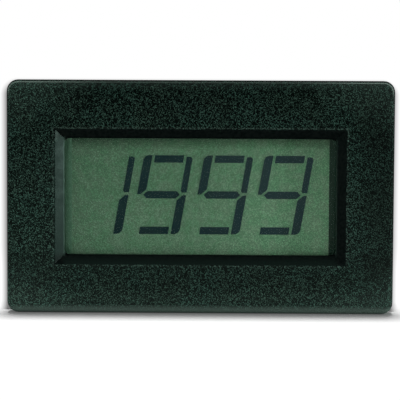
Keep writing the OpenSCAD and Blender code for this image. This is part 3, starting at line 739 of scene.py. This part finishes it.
def makeCopiesTree():
    # one part at each point of a mesh, turned about Y by the point's own angle and a little at random
    tree = bpy.data.node_groups.new("place copies", "GeometryNodeTree")
    for label, kind in (("Geometry", "Geometry"), ("Part", "Object"), ("Size", "Float"),
                        ("Random turn", "Float"), ("Seed", "Int"), ("Finish", "Material")):
        tree.interface.new_socket(name=label, in_out="INPUT", socket_type="NodeSocket" + kind)
    tree.interface.new_socket(name="Geometry", in_out="OUTPUT", socket_type="NodeSocketGeometry")
    given = tree.nodes.new("NodeGroupInput").outputs
    part = addNode(tree, "GeometryNodeObjectInfo", None, Object=given["Part"])
    own = addNode(tree, "GeometryNodeInputNamedAttribute", {"data_type": "FLOAT"}, Name="turn")
    chance = addNode(tree, "FunctionNodeRandomValue", {"data_type": "FLOAT"}, Seed=given["Seed"])
    put(times(given["Random turn"], -1.0), chance.inputs[2])
    put(given["Random turn"], chance.inputs[3])
    turn = addNode(tree, "ShaderNodeCombineXYZ", None, Y=plus(own.outputs["Attribute"], chance.outputs[1]))
    copies = addNode(tree, "GeometryNodeInstanceOnPoints", None, Points=given["Geometry"],
                     Instance=part.outputs["Geometry"], Rotation=turn.outputs[0], Scale=given["Size"])
    real = addNode(tree, "GeometryNodeRealizeInstances", None, Geometry=copies.outputs[0])
    painted = addNode(tree, "GeometryNodeSetMaterial", None, Geometry=real.outputs[0],
                      Material=given["Finish"])
    put(painted.outputs[0], tree.nodes.new("NodeGroupOutput").inputs["Geometry"])
    return tree


copiesTree = makeCopiesTree()


def placeCopies(name, part, spots, key="tin", slot="tinned_leads", nodes=(), turns=None, randomTurn=0.0,
                seed=1):
    mesh = bpy.data.meshes.new(name)
    mesh.from_pydata([tuple(spot) for spot in spots], [], [])
    mesh.attributes.new("turn", "FLOAT", "POINT").data.foreach_set("value", turns or [0.0] * len(spots))
    piece = addPiece(name, mesh)
    copies = piece.modifiers.new("copies", "NODES")
    copies.node_group = copiesTree
    values = {"Part": part, "Size": 1.0, "Random turn": randomTurn, "Seed": seed, "Finish": finishes[key]}
    for item in copiesTree.interface.items_tree:
        if item.in_out == "INPUT" and item.name in values:
            copies[item.identifier] = values[item.name]
    settle(piece)
    bpy.data.objects.remove(part)
    if not piece.data.materials:
        piece.data.materials.append(finishes[key])
    return place(piece, "meter", slot, *nodes)


bezelEdges = {"window": 0.26 * mm, "land": 0.12 * mm, "collar": 0.2 * mm, "flange": 0.26 * mm, "segments": 3,
              "sharp": 28, "flangeReach": 2.1 * mm}


def breakEdges(piece, tests):
    # rounds the hard edges whose two ends pass a test, each group by its own width, and keeps the flats flat
    mesh = piece.data
    bm = bmesh.new()
    bm.from_mesh(mesh)
    widest = max(width for test, width in tests)
    weight = bm.edges.layers.float.new("bevel_weight_edge")
    for edge in bm.edges:
        if edge.is_manifold and edge.calc_face_angle(0) > math.radians(bezelEdges["sharp"]):
            for test, width in tests:
                if all(test(v.co) for v in edge.verts):
                    edge[weight] = width / widest
    bm.to_mesh(mesh)
    bm.free()
    sharpen(mesh, bezelEdges["sharp"])
    bevel = addBevel(piece, widest, bezelEdges["segments"], method="WEIGHT")
    bevel.harden_normals, bevel.use_clamp_overlap = True, False
    return settle(piece)


def makeBezel():
    piece = pieceOf(mergedCopy("front_bezel"), "bezelMoulding", "bezel", "surround")
    near, reach = 0.002 * mm, bezelEdges["flangeReach"]
    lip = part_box("lcd_front_polarizer")[0].y
    inside = lambda p: abs(p.x) < recess["halfWidth"] and abs(p.z) < recess["halfHeight"]
    atEdge = lambda p: abs(p.x) > cadHigh.x - reach or abs(p.z) > cadHigh.z - reach
    tests = {
        "window": lambda p: abs(p.y - faceY) < near and inside(p),
        "land": lambda p: faceY + near < p.y < lip - near and inside(p),
        "collar": lambda p: abs(p.y - rearY) < near,
        "flange": lambda p: abs(p.y) < near and atEdge(p),
    }
    breakEdges(piece, [(test, bezelEdges[name]) for name, test in tests.items()])
    for face in piece.data.polygons:
        # the slope has its own finish
        face.material_index = int(inside(face.center) and faceY + 0.12 * mm < face.center.y < lip)
    place(piece, "meter", "bezel", "front_bezel")


makeBezel()
print("bezel made")

roundedNodes = {  # name, width and steps of the broken edges, finish, body and slot
    "left_panel_clamp": ("leftClamp", 0.12 * mm, 2, "clamp", "left_clamp", "clamp"),
    "right_panel_clamp": ("rightClamp", 0.12 * mm, 2, "clamp", "right_clamp", "clamp"),
    "strip_carrier": ("stripCarrier", 0.15 * mm, 2, "carrier", "meter", "carrier"),
    "circuit_board": ("board", 0.06 * mm, 1, "board", "meter", "board"),
    "trimmer_body": ("trimmerBody", 0.12 * mm, 2, "trimmer", "meter", "trimmer"),
    "trimmer_rotor": ("trimmerRotor", 0.07 * mm, 2, "rotor", "wiper", "trimmer_rotor"),
    "terminal_block": ("terminalBlock", 0.12 * mm, 2, "block", "meter", "terminal_block"),
}
dressedNodes = {
    "lcd_front_glass": "glass", "lcd_rear_glass": "backing", "lcd_perimeter_seal": "seal",
    "lcd_digit_segments": "segment", "lcd_rear_reflector": "reflector", "upper_contact_strip": "elastomer",
    "lower_contact_strip": "elastomer", "capacitor_leads": "tin", "resistor_leads": "tin",
    "trimmer_leads": "tin",
}


def addRounded(*nodes):
    # copies of CAD nodes with their hard edges broken
    for node in nodes:
        name, width, segments, key, body, slot = roundedNodes[node]
        piece = pieceOf(mergedCopy(node), name, key)
        addBevel(piece, width, segments)
        place(smooth(settle(piece)), body, slot, node)


addRounded("left_panel_clamp", "right_panel_clamp")
film = boxPart("displayFilm", *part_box("lcd_front_polarizer"), 0.04 * mm, "film")
place(smooth(film), "meter", "polarizer", "lcd_front_polarizer")
addRounded("strip_carrier", "circuit_board")
for node, key in dressedNodes.items():
    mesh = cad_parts[node].data
    mesh.materials.clear()
    mesh.materials.append(finishes[key])
print("clamps and display made")

padSize = {"wire": 0.85 * mm, "pin": 1.35 * mm, "via": 0.34 * mm, "viaHole": 0.14 * mm, "pinHole": 0.6 * mm,
           "thickness": 0.035 * mm, "steps": 20}
solder = {"wireHeight": 0.7 * mm, "pinHeight": 0.8 * mm, "pinRadius": 0.5 * mm, "points": 6, "steps": 16,
          "turn": 3.0}


def ringPart(inner, outer, height):
    bm = bmesh.new()
    profile = [(inner, height), (outer * 0.96, height), (outer, height * 0.6), (outer, 0), (inner, 0)]
    latheY(bm, [(inner, 0)] + profile, padSize["steps"])
    merge(bm)
    return pieceOf(bm, "ring")


def solderPart(radius, wire, height):
    # a concave fillet of solder round a lead's tail, on the side towards the display
    bm = bmesh.new()
    profile = [(wire, 0)]
    for i in range(solder["points"] + 1):
        turn = i / solder["points"] * math.pi / 2
        profile.append((radius + (wire - radius) * math.sin(turn), -height * (1 - math.cos(turn))))
    latheY(bm, profile + [(wire, 0)], solder["steps"])
    merge(bm)
    piece = pieceOf(bm, "joint")
    piece.data.shade_smooth()
    return piece


def atDepth(spots, y):
    return [Vector((spot.x, y, spot.z)) for spot in spots]


resistorMiddleX = middle(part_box("reference_resistor")).x
trimmerLead = islands("trimmer_leads")[0]
wireRadius = (trimmerLead[1].x - trimmerLead[0].x) / 2
pinSpots = [middle(pair) for pair in islands("terminal_pins")]
wireSpots = [middle(pair) for node in ("capacitor_leads", "trimmer_leads") for pair in islands(node)]
resistorSpots = []
for low, high in islands("resistor_leads"):
    wire = (high.z - low.z) / 2
    x = low.x + wire if low.x + high.x < 2 * resistorMiddleX else high.x - wire
    resistorSpots.append(Vector((x, 0, (low.z + high.z) / 2)))
wireSpots += resistorSpots
placeCopies("wirePads", ringPart(wireRadius * 1.02, padSize["wire"], padSize["thickness"]),
            atDepth(wireSpots, backY))
placeCopies("solderJoints", solderPart(padSize["wire"], wireRadius, solder["wireHeight"]),
            atDepth(wireSpots, boardFrontY), randomTurn=solder["turn"], seed=4)
placeCopies("pinJoints", solderPart(padSize["pin"], solder["pinRadius"], solder["pinHeight"]),
            atDepth(pinSpots, boardFrontY), randomTurn=solder["turn"], seed=5)

# the chip's leads, one part placed round its four sides
chipLead = {"thickness": 0.2 * mm, "width": 0.35 * mm, "bend": 0.28 * mm, "turn": 0.9, "points": 6,
            "sharp": 40, "firstBend": 0.25 * mm, "secondBend": 0.95 * mm}
footPad = {"in": 1.35 * mm, "out": 0.5 * mm, "width": 0.48 * mm, "edge": 0.012 * mm}
chipLow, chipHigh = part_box("converter_chip")
chipMiddle = (chipLow + chipHigh) / 2
leadBoxes = islands("converter_chip_leads")
chipReach = max(high.x for low, high in leadBoxes) - chipMiddle.x


def leadTurn(spot):
    away = spot - chipMiddle
    if abs(away.x) > abs(away.z):
        return 0.0 if away.x > 0 else math.pi
    return -math.pi / 2 if away.z > 0 else math.pi / 2


def leadPart():
    # gull wing: out of the body, down in a double bend, and flat on its pad
    half, width, bend = chipLead["thickness"] / 2, chipLead["width"] / 2, chipLead["bend"]
    side = (chipHigh.x - chipLow.x) / 2
    top, foot = leadBoxes[0][1].y - half, backY + half
    turns = [math.pi / 2 * chipLead["turn"] * i / (chipLead["points"] - 1) for i in range(chipLead["points"])]
    line = [Vector((side - half, top))]
    line += [Vector((side + chipLead["firstBend"] + bend * math.sin(a), top - bend * (1 - math.cos(a))))
             for a in turns]
    line += [Vector((side + chipLead["secondBend"] - bend * math.sin(a), foot + bend * (1 - math.cos(a))))
             for a in reversed(turns)]
    line.append(Vector((chipReach, foot)))
    bm = bmesh.new()
    rows = []
    for i, p in enumerate(line):
        way = (line[min(i + 1, len(line) - 1)] - line[max(i - 1, 0)]).normalized()
        off = Vector((-way.y, way.x)) * half
        corners = ((p + off, width), (p + off, -width), (p - off, -width), (p - off, width))
        rows.append([bm.verts.new((q.x, q.y, z)) for q, z in corners])
    skinRows(bm, rows)
    turnOut(bm)
    piece = pieceOf(bm, "lead")
    sharpen(piece.data, chipLead["sharp"])
    return piece


# the part is drawn for a chip at the origin, so each copy starts from the chip's middle line
leadTurns = [leadTurn(middle(pair)) for pair in leadBoxes]
chipSpots = []
for spot, turn in zip(map(middle, leadBoxes), leadTurns):
    upDown = abs(math.cos(turn)) > 0.5
    chipSpots.append(Vector((chipMiddle.x if upDown else spot.x, 0, spot.z if upDown else chipMiddle.z)))
placeCopies("chipLeads", leadPart(), chipSpots, nodes=("converter_chip_leads",), turns=leadTurns)
foot = boxPart("footPad", (chipReach - footPad["in"], 0, -footPad["width"] / 2),
               (chipReach + footPad["out"], padSize["thickness"], footPad["width"] / 2), footPad["edge"])
placeCopies("footPads", foot, atDepth(chipSpots, backY), turns=leadTurns)

trackSize = {"signal": 0.3 * mm, "supply": 0.55 * mm, "thickness": 0.03 * mm, "drop": 1.1 * mm,
             "lane": 0.75 * mm, "supplyReach": (6.5 * mm, 3.2 * mm), "supplyStep": 1.2 * mm, "bend": 1.2 * mm}
fan = {"gap": 0.3 * mm, "near": 0.5 * mm, "far": 0.9 * mm, "bow": 0.4 * mm, "aside": 1.2 * mm,
       "out": 0.6 * mm}


def makeTracks():
    # covered tracks fan out from the chip to two rows of vias over the contact strips
    bm = bmesh.new()
    vias = []

    def addTrack(route, size="signal"):
        ribbon(bm, [tuple(point) for point in route], trackSize[size], backY, trackSize["thickness"])

    for spot, turn in zip(chipSpots, leadTurns):
        out = Vector((math.cos(turn), -math.sin(turn)))
        start = Vector((spot.x, spot.z)) + out * (chipReach + fan["gap"])
        upDown = abs(out.y) > 0.5
        offset = (spot.x - chipMiddle.x if upDown else spot.z - chipMiddle.z) / chipReach
        even = round(abs(offset) * 10) % 2
        if upDown:
            mid = start + out * (fan["far"] + fan["near"] * even + fan["bow"] * (1 - abs(offset)))
            end = mid + Vector((offset * fan["aside"], 0)) + out * abs(offset) * fan["out"]
        else:
            mid = start + out * (fan["near"] + fan["far"] * even)
            end = mid + Vector((out.x, offset)) * fan["near"]
        addTrack((start, mid, end))
        vias.append(Vector((end.x, backY, end.y)))
    boardLow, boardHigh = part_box("circuit_board")
    left, right = trackSize["supplyReach"]
    for i, pin in enumerate(pinSpots):
        drop = boardLow.z + trackSize["drop"] + trackSize["lane"] * i
        step = trackSize["supplyStep"]
        reach = boardLow.x + left + step * i if i < 2 else boardHigh.x - right - step * (3 - i)
        addTrack(((pin.x, pin.z), (pin.x, drop), (reach, drop)), "supply")
        vias.append(Vector((reach, backY, drop)))
    for a, b in ((0, 2), (3, 5), (4, 6)):
        first, second = resistorSpots[a], resistorSpots[b]
        bend = trackSize["bend"]
        x = first.x + math.copysign(bend, first.x - resistorMiddleX)
        addTrack(((first.x, first.z), (x, first.z + bend), (x, second.z - bend), (second.x, second.z)))
    turnOut(bm)
    place(pieceOf(bm, "boardTracks", "track"), "meter", "board")
    placeCopies("viaRings", ringPart(padSize["viaHole"], padSize["via"], padSize["thickness"] * 1.2), vias)
    placeCopies("pinPads", ringPart(padSize["pinHole"], padSize["pin"], padSize["thickness"]),
                atDepth(pinSpots, backY))


makeTracks()

filmCapacitors = {
    "integrator_capacitor": "integratorCapacitor", "auto_zero_capacitor": "autoZeroCapacitor",
    "reference_capacitor": "referenceCapacitor", "input_filter_capacitor": "inputFilterCapacitor",
}
resistors = {
    "reference_resistor": ("referenceResistor", ("red", "yellow", "orange", "gold")),
    "integrator_resistor": ("integratorResistor", ("yellow", "violet", "orange", "gold")),
    "oscillator_resistor": ("oscillatorResistor", ("brown", "black", "yellow", "gold")),
    "input_resistor": ("inputResistor", ("brown", "black", "green", "gold")),
}
legend = {"line": 0.16 * mm, "thickness": 0.02 * mm, "margin": 0.35 * mm, "cross": 0.5 * mm,
          "crossUp": 4.2 * mm}


def makeLegend():
    # plain outlines round the parts, with a polarity cross by the supply pin
    bm = bmesh.new()
    grow, line, thick = legend["margin"], legend["line"], legend["thickness"]
    for node in (*filmCapacitors, *resistors, "trimmer_body", "terminal_block", "oscillator_capacitor"):
        low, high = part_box(node)
        x0, x1, z0, z1 = low.x - grow, high.x + grow, low.z - grow, high.z + grow
        ribbon(bm, [(x0, z0), (x1, z0), (x1, z1), (x0, z1)], line, backY, thick, closed=True)
    x, z, arm = pinSpots[0].x, pinSpots[0].z + legend["crossUp"], legend["cross"]
    ribbon(bm, [(x - arm, z), (x + arm, z)], line, backY, thick)
    ribbon(bm, [(x, z - arm), (x, z + arm)], line, backY, thick * 1.1)
    turnOut(bm)
    place(pieceOf(bm, "boardLegend", "ink"), "meter", "board")


makeLegend()
print("board made")

chipSize = {"draft": 0.972, "edge": 0.07 * mm, "sharp": 20, "belt": 0.3 * mm, "leadSpace": 4 * mm}


def makeChip():
    # both halves of the body taper away from the middle, where the leads come out
    bm = mergedCopy("converter_chip")
    whole = bm.verts[:] + bm.edges[:] + bm.faces[:]
    bmesh.ops.bisect_plane(bm, geom=whole, plane_co=(0, chipMiddle.y, 0), plane_no=(0, 1, 0))
    for vert in bm.verts:
        away = vert.co - chipMiddle
        if abs(away.y) > chipSize["belt"] and max(abs(away.x), abs(away.z)) > chipSize["leadSpace"]:
            vert.co.x = chipMiddle.x + away.x * chipSize["draft"]
            vert.co.z = chipMiddle.z + away.z * chipSize["draft"]
    piece = pieceOf(bm, "converterChip", "chip")
    addBevel(piece, chipSize["edge"], 2, chipSize["sharp"])
    place(smooth(settle(piece), 30), "meter", "chip", "converter_chip")


makeChip()
capacitorSize = {"edge": 0.95 * mm, "swell": 0.045}


def makeFilmCapacitor(node, name):
    low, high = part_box(node)
    bm = bmesh.new()
    roundedBox(bm, low, high, capacitorSize["edge"], 6, 6)
    # dipped epoxy swells a little over the winding
    centre, half = (low + high) / 2, (high - low) / 2
    for vert in bm.verts:
        x, y = ((vert.co[i] - centre[i]) / half[i] for i in (0, 1))
        swell = 1 - capacitorSize["swell"] * (1 - (1 - x ** 4) * (1 - y ** 4))
        vert.co.z = centre.z + (vert.co.z - centre.z) * swell
    place(smooth(pieceOf(bm, name, "capacitor"), 60), "meter", "film_capacitor", node)


for node, name in filmCapacitors.items():
    makeFilmCapacitor(node, name)
disc = {"steps": 40, "rings": 10, "flat": 0.45, "rim": 0.9, "legSteps": 14,
        # the lacquer on each lead: how many wires thick, and how far from the disc's foot
        "legs": ((0, -0.45), (1.15, -0.42), (1.7, -0.1)), "legTop": ((0.65 * mm, 0.25), (0, 0.4))}


def makeDisc():
    low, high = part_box("oscillator_capacitor")
    radius, thick = (high.x - low.x) / 2, (high.z - low.z) / 2
    centre = Vector(((low.x + high.x) / 2, high.y - radius, (low.z + high.z) / 2))
    bm = bmesh.new()
    rows = []
    for i in range(disc["rings"] + 1):
        a = math.pi * i / disc["rings"] - math.pi / 2
        # a lens that is flat in the middle and round at its rim
        across = radius * math.cos(a) ** disc["flat"]
        z = centre.z + thick * math.copysign(abs(math.sin(a)) ** disc["rim"], a)
        turns = [2 * math.pi * k / disc["steps"] for k in range(disc["steps"])]
        points = [(centre.x + across * math.cos(t), max(centre.y + across * math.sin(t), low.y), z)
                  for t in turns]
        rows.append([bm.verts.new(point) for point in points])
    skinRows(bm, rows, capped=False)
    merge(bm)
    turnOut(bm)
    # lacquer runs a little way down both leads
    legs = [(wireRadius * size, low.y + y * mm) for size, y in disc["legs"]]
    legs += [(size, low.y + y * mm) for size, y in disc["legTop"]]
    for pair in islands("capacitor_leads"):
        if pair[1].y > backY + 0.1 * mm:
            latheY(bm, legs, disc["legSteps"], Vector((middle(pair).x, 0, middle(pair).z)))
    place(smooth(pieceOf(bm, "discCapacitor", "disc"), 50), "meter", "ceramic_disc", "oscillator_capacitor")


makeDisc()
bandColors = {
    "black": linear(22, 20, 20), "brown": linear(96, 52, 26), "red": linear(178, 36, 28),
    "orange": linear(222, 110, 30), "yellow": linear(226, 194, 42), "green": linear(46, 112, 52),
    "violet": linear(96, 54, 120), "gold": linear(178, 138, 60),
}
resistorForm = {
    "body": (linear(206, 182, 138), linear(190, 162, 116)), "bands": (0.14, 0.34, 0.5, 0.82),
    "bandHalf": 0.05, "bandSoft": 0.005, "waist": 0.84, "round": 0.09, "cap": 0.17, "shoulder": 0.08,
    "points": 32, "steps": 28, "endSize": 0.16, "patch": 1.2 * mm, "skin": 2200, "relief": 0.012 * mm,
}


def makeBandedMaterial(name, bands, low, high):
    # lacquered resistor body: plain colour bands across X
    form = resistorForm
    made, shader, coords = newMaterial(name, roughness=0.3, coat=0.3)
    along = spread(axesOf(coords)["X"], low, high)
    color = drift(coords, form["patch"], *form["body"])
    for spot, band in zip(form["bands"], bands):
        inside = spread(absolute(minus(along, spot)), form["bandHalf"] - form["bandSoft"],
                        form["bandHalf"] + form["bandSoft"], 1.0, 0.0)
        color = blendColor(inside, color, bandColors[band])
    putAll(shader, {"Base Color": color, "Normal": bump(noise(coords, form["skin"]), form["relief"])})
    return made


def makeResistor(node, name, bands):
    low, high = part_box(node)
    form, length, radius = resistorForm, high.x - low.x, (high.y - low.y) / 2
    waist = radius * form["waist"]
    profile = [(0.0, 0.0)]
    for i in range(form["points"] + 1):
        t = i / form["points"]
        end = min(t, 1 - t)
        # round ends, full end caps, and a slimmer body between them
        cap = math.sqrt(max(0.0, 1 - max(0.0, 1 - end / form["round"]) ** 2))
        full = 1 if end < form["cap"] else max(0.0, 1 - (end - form["cap"]) / form["shoulder"])
        profile.append((max(form["endSize"], cap) * (waist + (radius - waist) * full), t * length))
    bm = bmesh.new()
    latheY(bm, profile + [(0.0, length)], form["steps"])
    start = Matrix.Translation((low.x, (low.y + high.y) / 2, (low.z + high.z) / 2))
    bmesh.ops.transform(bm, matrix=start @ Matrix.Rotation(-math.pi / 2, 4, "Z"), verts=bm.verts)
    finishes[name] = makeBandedMaterial(name + " lacquer", bands, low.x, high.x)
    place(smooth(pieceOf(bm, name, name), 50), "meter", "resistor", node)


for node, (name, bands) in resistors.items():
    makeResistor(node, name, bands)
print("components made")

addRounded("trimmer_body", "trimmer_rotor", "terminal_block")
pinSize = {"edge": 0.04 * mm, "tip": 0.55, "tipLength": 0.35 * mm, "taper": 0.7 * mm, "end": 0.1 * mm,
           "endSize": 0.5, "point": 0.35}


def pinPart():
    low, high = islands("terminal_pins")[0]
    half, length = (high.x - low.x) / 2, high.y - low.y
    bm = bmesh.new()
    rows = []
    for y, size in ((0, pinSize["tip"]), (pinSize["tipLength"], 1), (length - pinSize["taper"], 1),
                    (length - pinSize["end"], pinSize["endSize"]), (length, pinSize["point"])):
        rows.append([bm.verts.new((half * size * a, y, half * size * b))
                     for a, b in ((-1, -1), (1, -1), (1, 1), (-1, 1))])
    skinRows(bm, rows)
    turnOut(bm)
    piece = pieceOf(bm, "pin")
    addBevel(piece, pinSize["edge"], 2)
    return smooth(settle(piece), 30)


placeCopies("terminalPins", pinPart(), atDepth(pinSpots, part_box("terminal_pins")[0].y), "pin",
            "terminal_pins", ("terminal_pins",))
screwSize = {"shank": 0.8 * mm, "tip": 0.45, "point": 0.5 * mm, "rim": 0.08 * mm, "dome": 0.35 * mm,
             "round": 0.7, "points": 8, "steps": 36, "crossReach": 0.62, "crossHalf": 0.22 * mm,
             "crossDeep": 0.75 * mm, "crossEdge": 0.05 * mm, "turn": 1.5}


def screwPart():
    low, high = islands("board_screws")[0]
    size, shank, points = screwSize, screwSize["shank"], screwSize["points"]
    head, top, under = (high.x - low.x) / 2, high.y - backY, low.y - backY
    profile = [(0, under), (shank * size["tip"], under), (shank, under + size["point"]), (shank, 0),
               (head * 0.97, 0), (head, size["rim"])]
    for i in range(points + 1):
        a = math.pi / 2 * i / points
        profile.append((head * math.cos(a) ** size["round"] if i < points else 0,
                        size["dome"] + (top - size["dome"]) * math.sin(a)))
    bm = bmesh.new()
    latheY(bm, profile, size["steps"])
    piece = pieceOf(bm, "screw")
    reach, half = head * size["crossReach"], size["crossHalf"]
    for x, z in ((reach, half), (half, reach)):
        cross = boxPart("cross", (-x, top - size["crossDeep"], -z), (x, top + 0.5 * mm, z), size["crossEdge"])
        cut = piece.modifiers.new("recess", "BOOLEAN")
        cut.operation, cut.object, cut.solver = "DIFFERENCE", cross, "EXACT"
        settle(piece)
        bpy.data.objects.remove(cross)
    return smooth(piece, 40)


screwSpots = atDepth(map(middle, islands("board_screws")), backY)
placeCopies("boardScrews", screwPart(), screwSpots, "screw", "screw", ("board_screws",),
            randomTurn=screwSize["turn"], seed=7)
print("terminals and screws made")

studio = {"white": 0.86, "ambient": 0.16, "floorGlow": 0.08, "floorNear": 70 * mm, "floorHalf": 3.0,
          "edgeShade": 0.75, "edgeReach": 1.3 * mm, "edgeFall": 1.4, "edgeGap": 0.3 * mm}
# where the painted shadow behind the flange starts to fade, left, right and top
shadeEdge = {"left": -34.46 * mm, "right": 34.03 * mm, "top": 19.66 * mm, "corner": 2 * mm}
lamps = {  # spot, power, size, spread in degrees, seen in gloss, and lights the floor instead of the object
    "front": ((-0.09, -0.17, -0.004), 0.03, 0.03, 120, False, False),
    "frontTop": ((-0.15, -0.6, 0.6), 0.10, 0.2, 60, False, False),
    "side": ((0.3, -0.085, 0.004), 0.066, 0.04, 60, True, False),
    "topLeft": ((-0.5, -0.5, 0.5), 0.05, 0.1, 60, True, False),
    "topRight": ((0.5, -0.5, 0.5), 0.03, 0.1, 60, True, False),
    "rearLeft": ((-0.5, 0.7, 0.3), 1.2, 0.4, 120, True, False),
    "rearRight": ((0.6, 0.6, 0.25), 1.0, 0.4, 120, True, False),
    "top": ((0, 0.105, 0.8), 1.2, 0.2, 120, True, False),
    "floorTop": ((0, 0.105, 0.8), 3.0, 0.2, 120, True, True),
}
floorZ = cadLow.z - 0.05 * mm


def emptyTree(owner):
    owner.use_nodes = True
    owner.node_tree.nodes.clear()
    return owner.node_tree


def finishTree(tree, shader, kind="ShaderNodeOutputMaterial"):
    put(shader.outputs[0], tree.nodes.new(kind).inputs[0])


def joinShaders(tree, kind, *values):
    made = tree.nodes.new(kind)
    for value, socket in zip(values, made.inputs):
        put(value.outputs[0] if isinstance(value, bpy.types.Node) else value, socket)
    return made


def seenRays(tree):
    # rays that show the stage: straight from the camera, or by way of gloss or glass
    path = tree.nodes.new("ShaderNodeLightPath").outputs
    return larger(path["Is Camera Ray"], larger(path["Is Glossy Ray"], path["Is Transmission Ray"]))


def backfacing(tree):
    return tree.nodes.new("ShaderNodeNewGeometry").outputs["Backfacing"]


def makeFloorMaterial():
    # white further out, and close to the object a matt white that keeps its shadow
    made = bpy.data.materials.new("floor white")
    tree = emptyTree(made)
    seen = seenRays(tree)
    level = addNode(tree, "ShaderNodeVectorMath", {"operation": "MULTIPLY"}, Vector=objectCoords(tree))
    level.inputs[1].default_value = (1, 1, 0)
    away = addNode(tree, "ShaderNodeVectorMath", {"operation": "LENGTH"}, Vector=level.outputs[0])
    far = ease(away.outputs["Value"], studio["floorNear"], studio["floorNear"] * 2)
    matt = addNode(tree, "ShaderNodeBsdfDiffuse", None, Color=(studio["white"],) * 3 + (1,))
    lift = addNode(tree, "ShaderNodeEmission", None, Strength=times(seen, studio["floorGlow"]))
    near = joinShaders(tree, "ShaderNodeAddShader", matt, lift)
    plain = addNode(tree, "ShaderNodeEmission", None, Strength=1.0)
    above = joinShaders(tree, "ShaderNodeMixShader", times(far, seen), near, plain)
    # clear from below
    clear = tree.nodes.new("ShaderNodeBsdfTransparent")
    finishTree(tree, joinShaders(tree, "ShaderNodeMixShader", backfacing(tree), above, clear))
    return made


def makeEdgeShadeMaterial():
    # a clear sheet with a painted soft shadow close round the flange
    made = bpy.data.materials.new("edge shade")
    tree = emptyTree(made)
    left, right, top, foot = shadeEdge["left"], shadeEdge["right"], shadeEdge["top"], floorZ - 10 * mm
    moved = addNode(tree, "ShaderNodeVectorMath", {"operation": "SUBTRACT"}, Vector=objectCoords(tree))
    moved.inputs[1].default_value = ((left + right) / 2, 0, (top + foot) / 2)
    away = outlineAway(axesOf(moved.outputs[0]), (right - left) / 2, (top - foot) / 2, shadeEdge["corner"])
    fade = calc("POWER", spread(away, 0.0, studio["edgeReach"], 1.0, 0.0), studio["edgeFall"])
    seen = tree.nodes.new("ShaderNodeLightPath").outputs["Is Camera Ray"]
    shade = times(fade, studio["edgeShade"], seen, minus(1.0, backfacing(tree)))
    finishTree(tree, addNode(tree, "ShaderNodeBsdfTransparent", None, Color=minus(1.0, shade)))
    return made


def addSheet(name, corners, faces, finish):
    mesh = bpy.data.meshes.new(name)
    mesh.from_pydata(corners, [], faces)
    mesh.materials.append(finish)
    sheet = bpy.data.objects.new(name, mesh)
    scene.collection.objects.link(sheet)
    sheet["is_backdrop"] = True
    return sheet


half = studio["floorHalf"]
corners = [(x * half, y * half, floorZ) for x, y in ((-1, -1), (1, -1), (1, 1), (-1, 1))]
floor = addSheet("floor", corners, [(0, 1, 2, 3)], makeFloorMaterial())
# the clear sheet runs up, over and down outside the collar, just behind the flange
outX, outZ, inX, inZ = cadHigh.x + 3 * mm, cadHigh.z + 3 * mm, cadHigh.x - 1.5 * mm, cadHigh.z - 1.5 * mm
corners = [(-outX, floorZ), (-outX, outZ), (outX, outZ), (outX, floorZ),
           (inX, floorZ), (inX, inZ), (-inX, inZ), (-inX, floorZ)]
addSheet("edgeShade", [(x, studio["edgeGap"], z) for x, z in corners],
         [(0, 7, 6, 1), (1, 6, 5, 2), (2, 5, 4, 3)], makeEdgeShadeMaterial())

# one lamp lights the floor alone and throws the object's shadow there, and the others light the object alone
onlyFloor = bpy.data.collections.new("only the floor")
notFloor = bpy.data.collections.new("not the floor")
for group, state in ((onlyFloor, "INCLUDE"), (notFloor, "EXCLUDE")):
    group.objects.link(floor)
    group.collection_objects[0].light_linking.link_state = state
for name, (spot, power, size, angle, inGloss, lightsFloor) in lamps.items():
    lamp = bpy.data.lights.new(name, "AREA")
    lamp.shape, lamp.size, lamp.energy, lamp.spread = "DISK", size, power, math.radians(angle)
    made = bpy.data.objects.new(name, lamp)
    made.location = spot
    made.rotation_euler = (-Vector(spot)).to_track_quat("-Z", "Y").to_euler()
    made.visible_camera, made.visible_glossy = False, inGloss
    made.light_linking.receiver_collection = onlyFloor if lightsFloor else notFloor
    scene.collection.objects.link(made)

world = bpy.data.worlds.new("studio")
scene.world = world
tree = emptyTree(world)
level = spread(seenRays(tree), 0.0, 1.0, studio["ambient"], 1.0)
sky = addNode(tree, "ShaderNodeBackground", None, Color=white, Strength=level)
finishTree(tree, sky, "ShaderNodeOutputWorld")
print("stage and light set")

low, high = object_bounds()
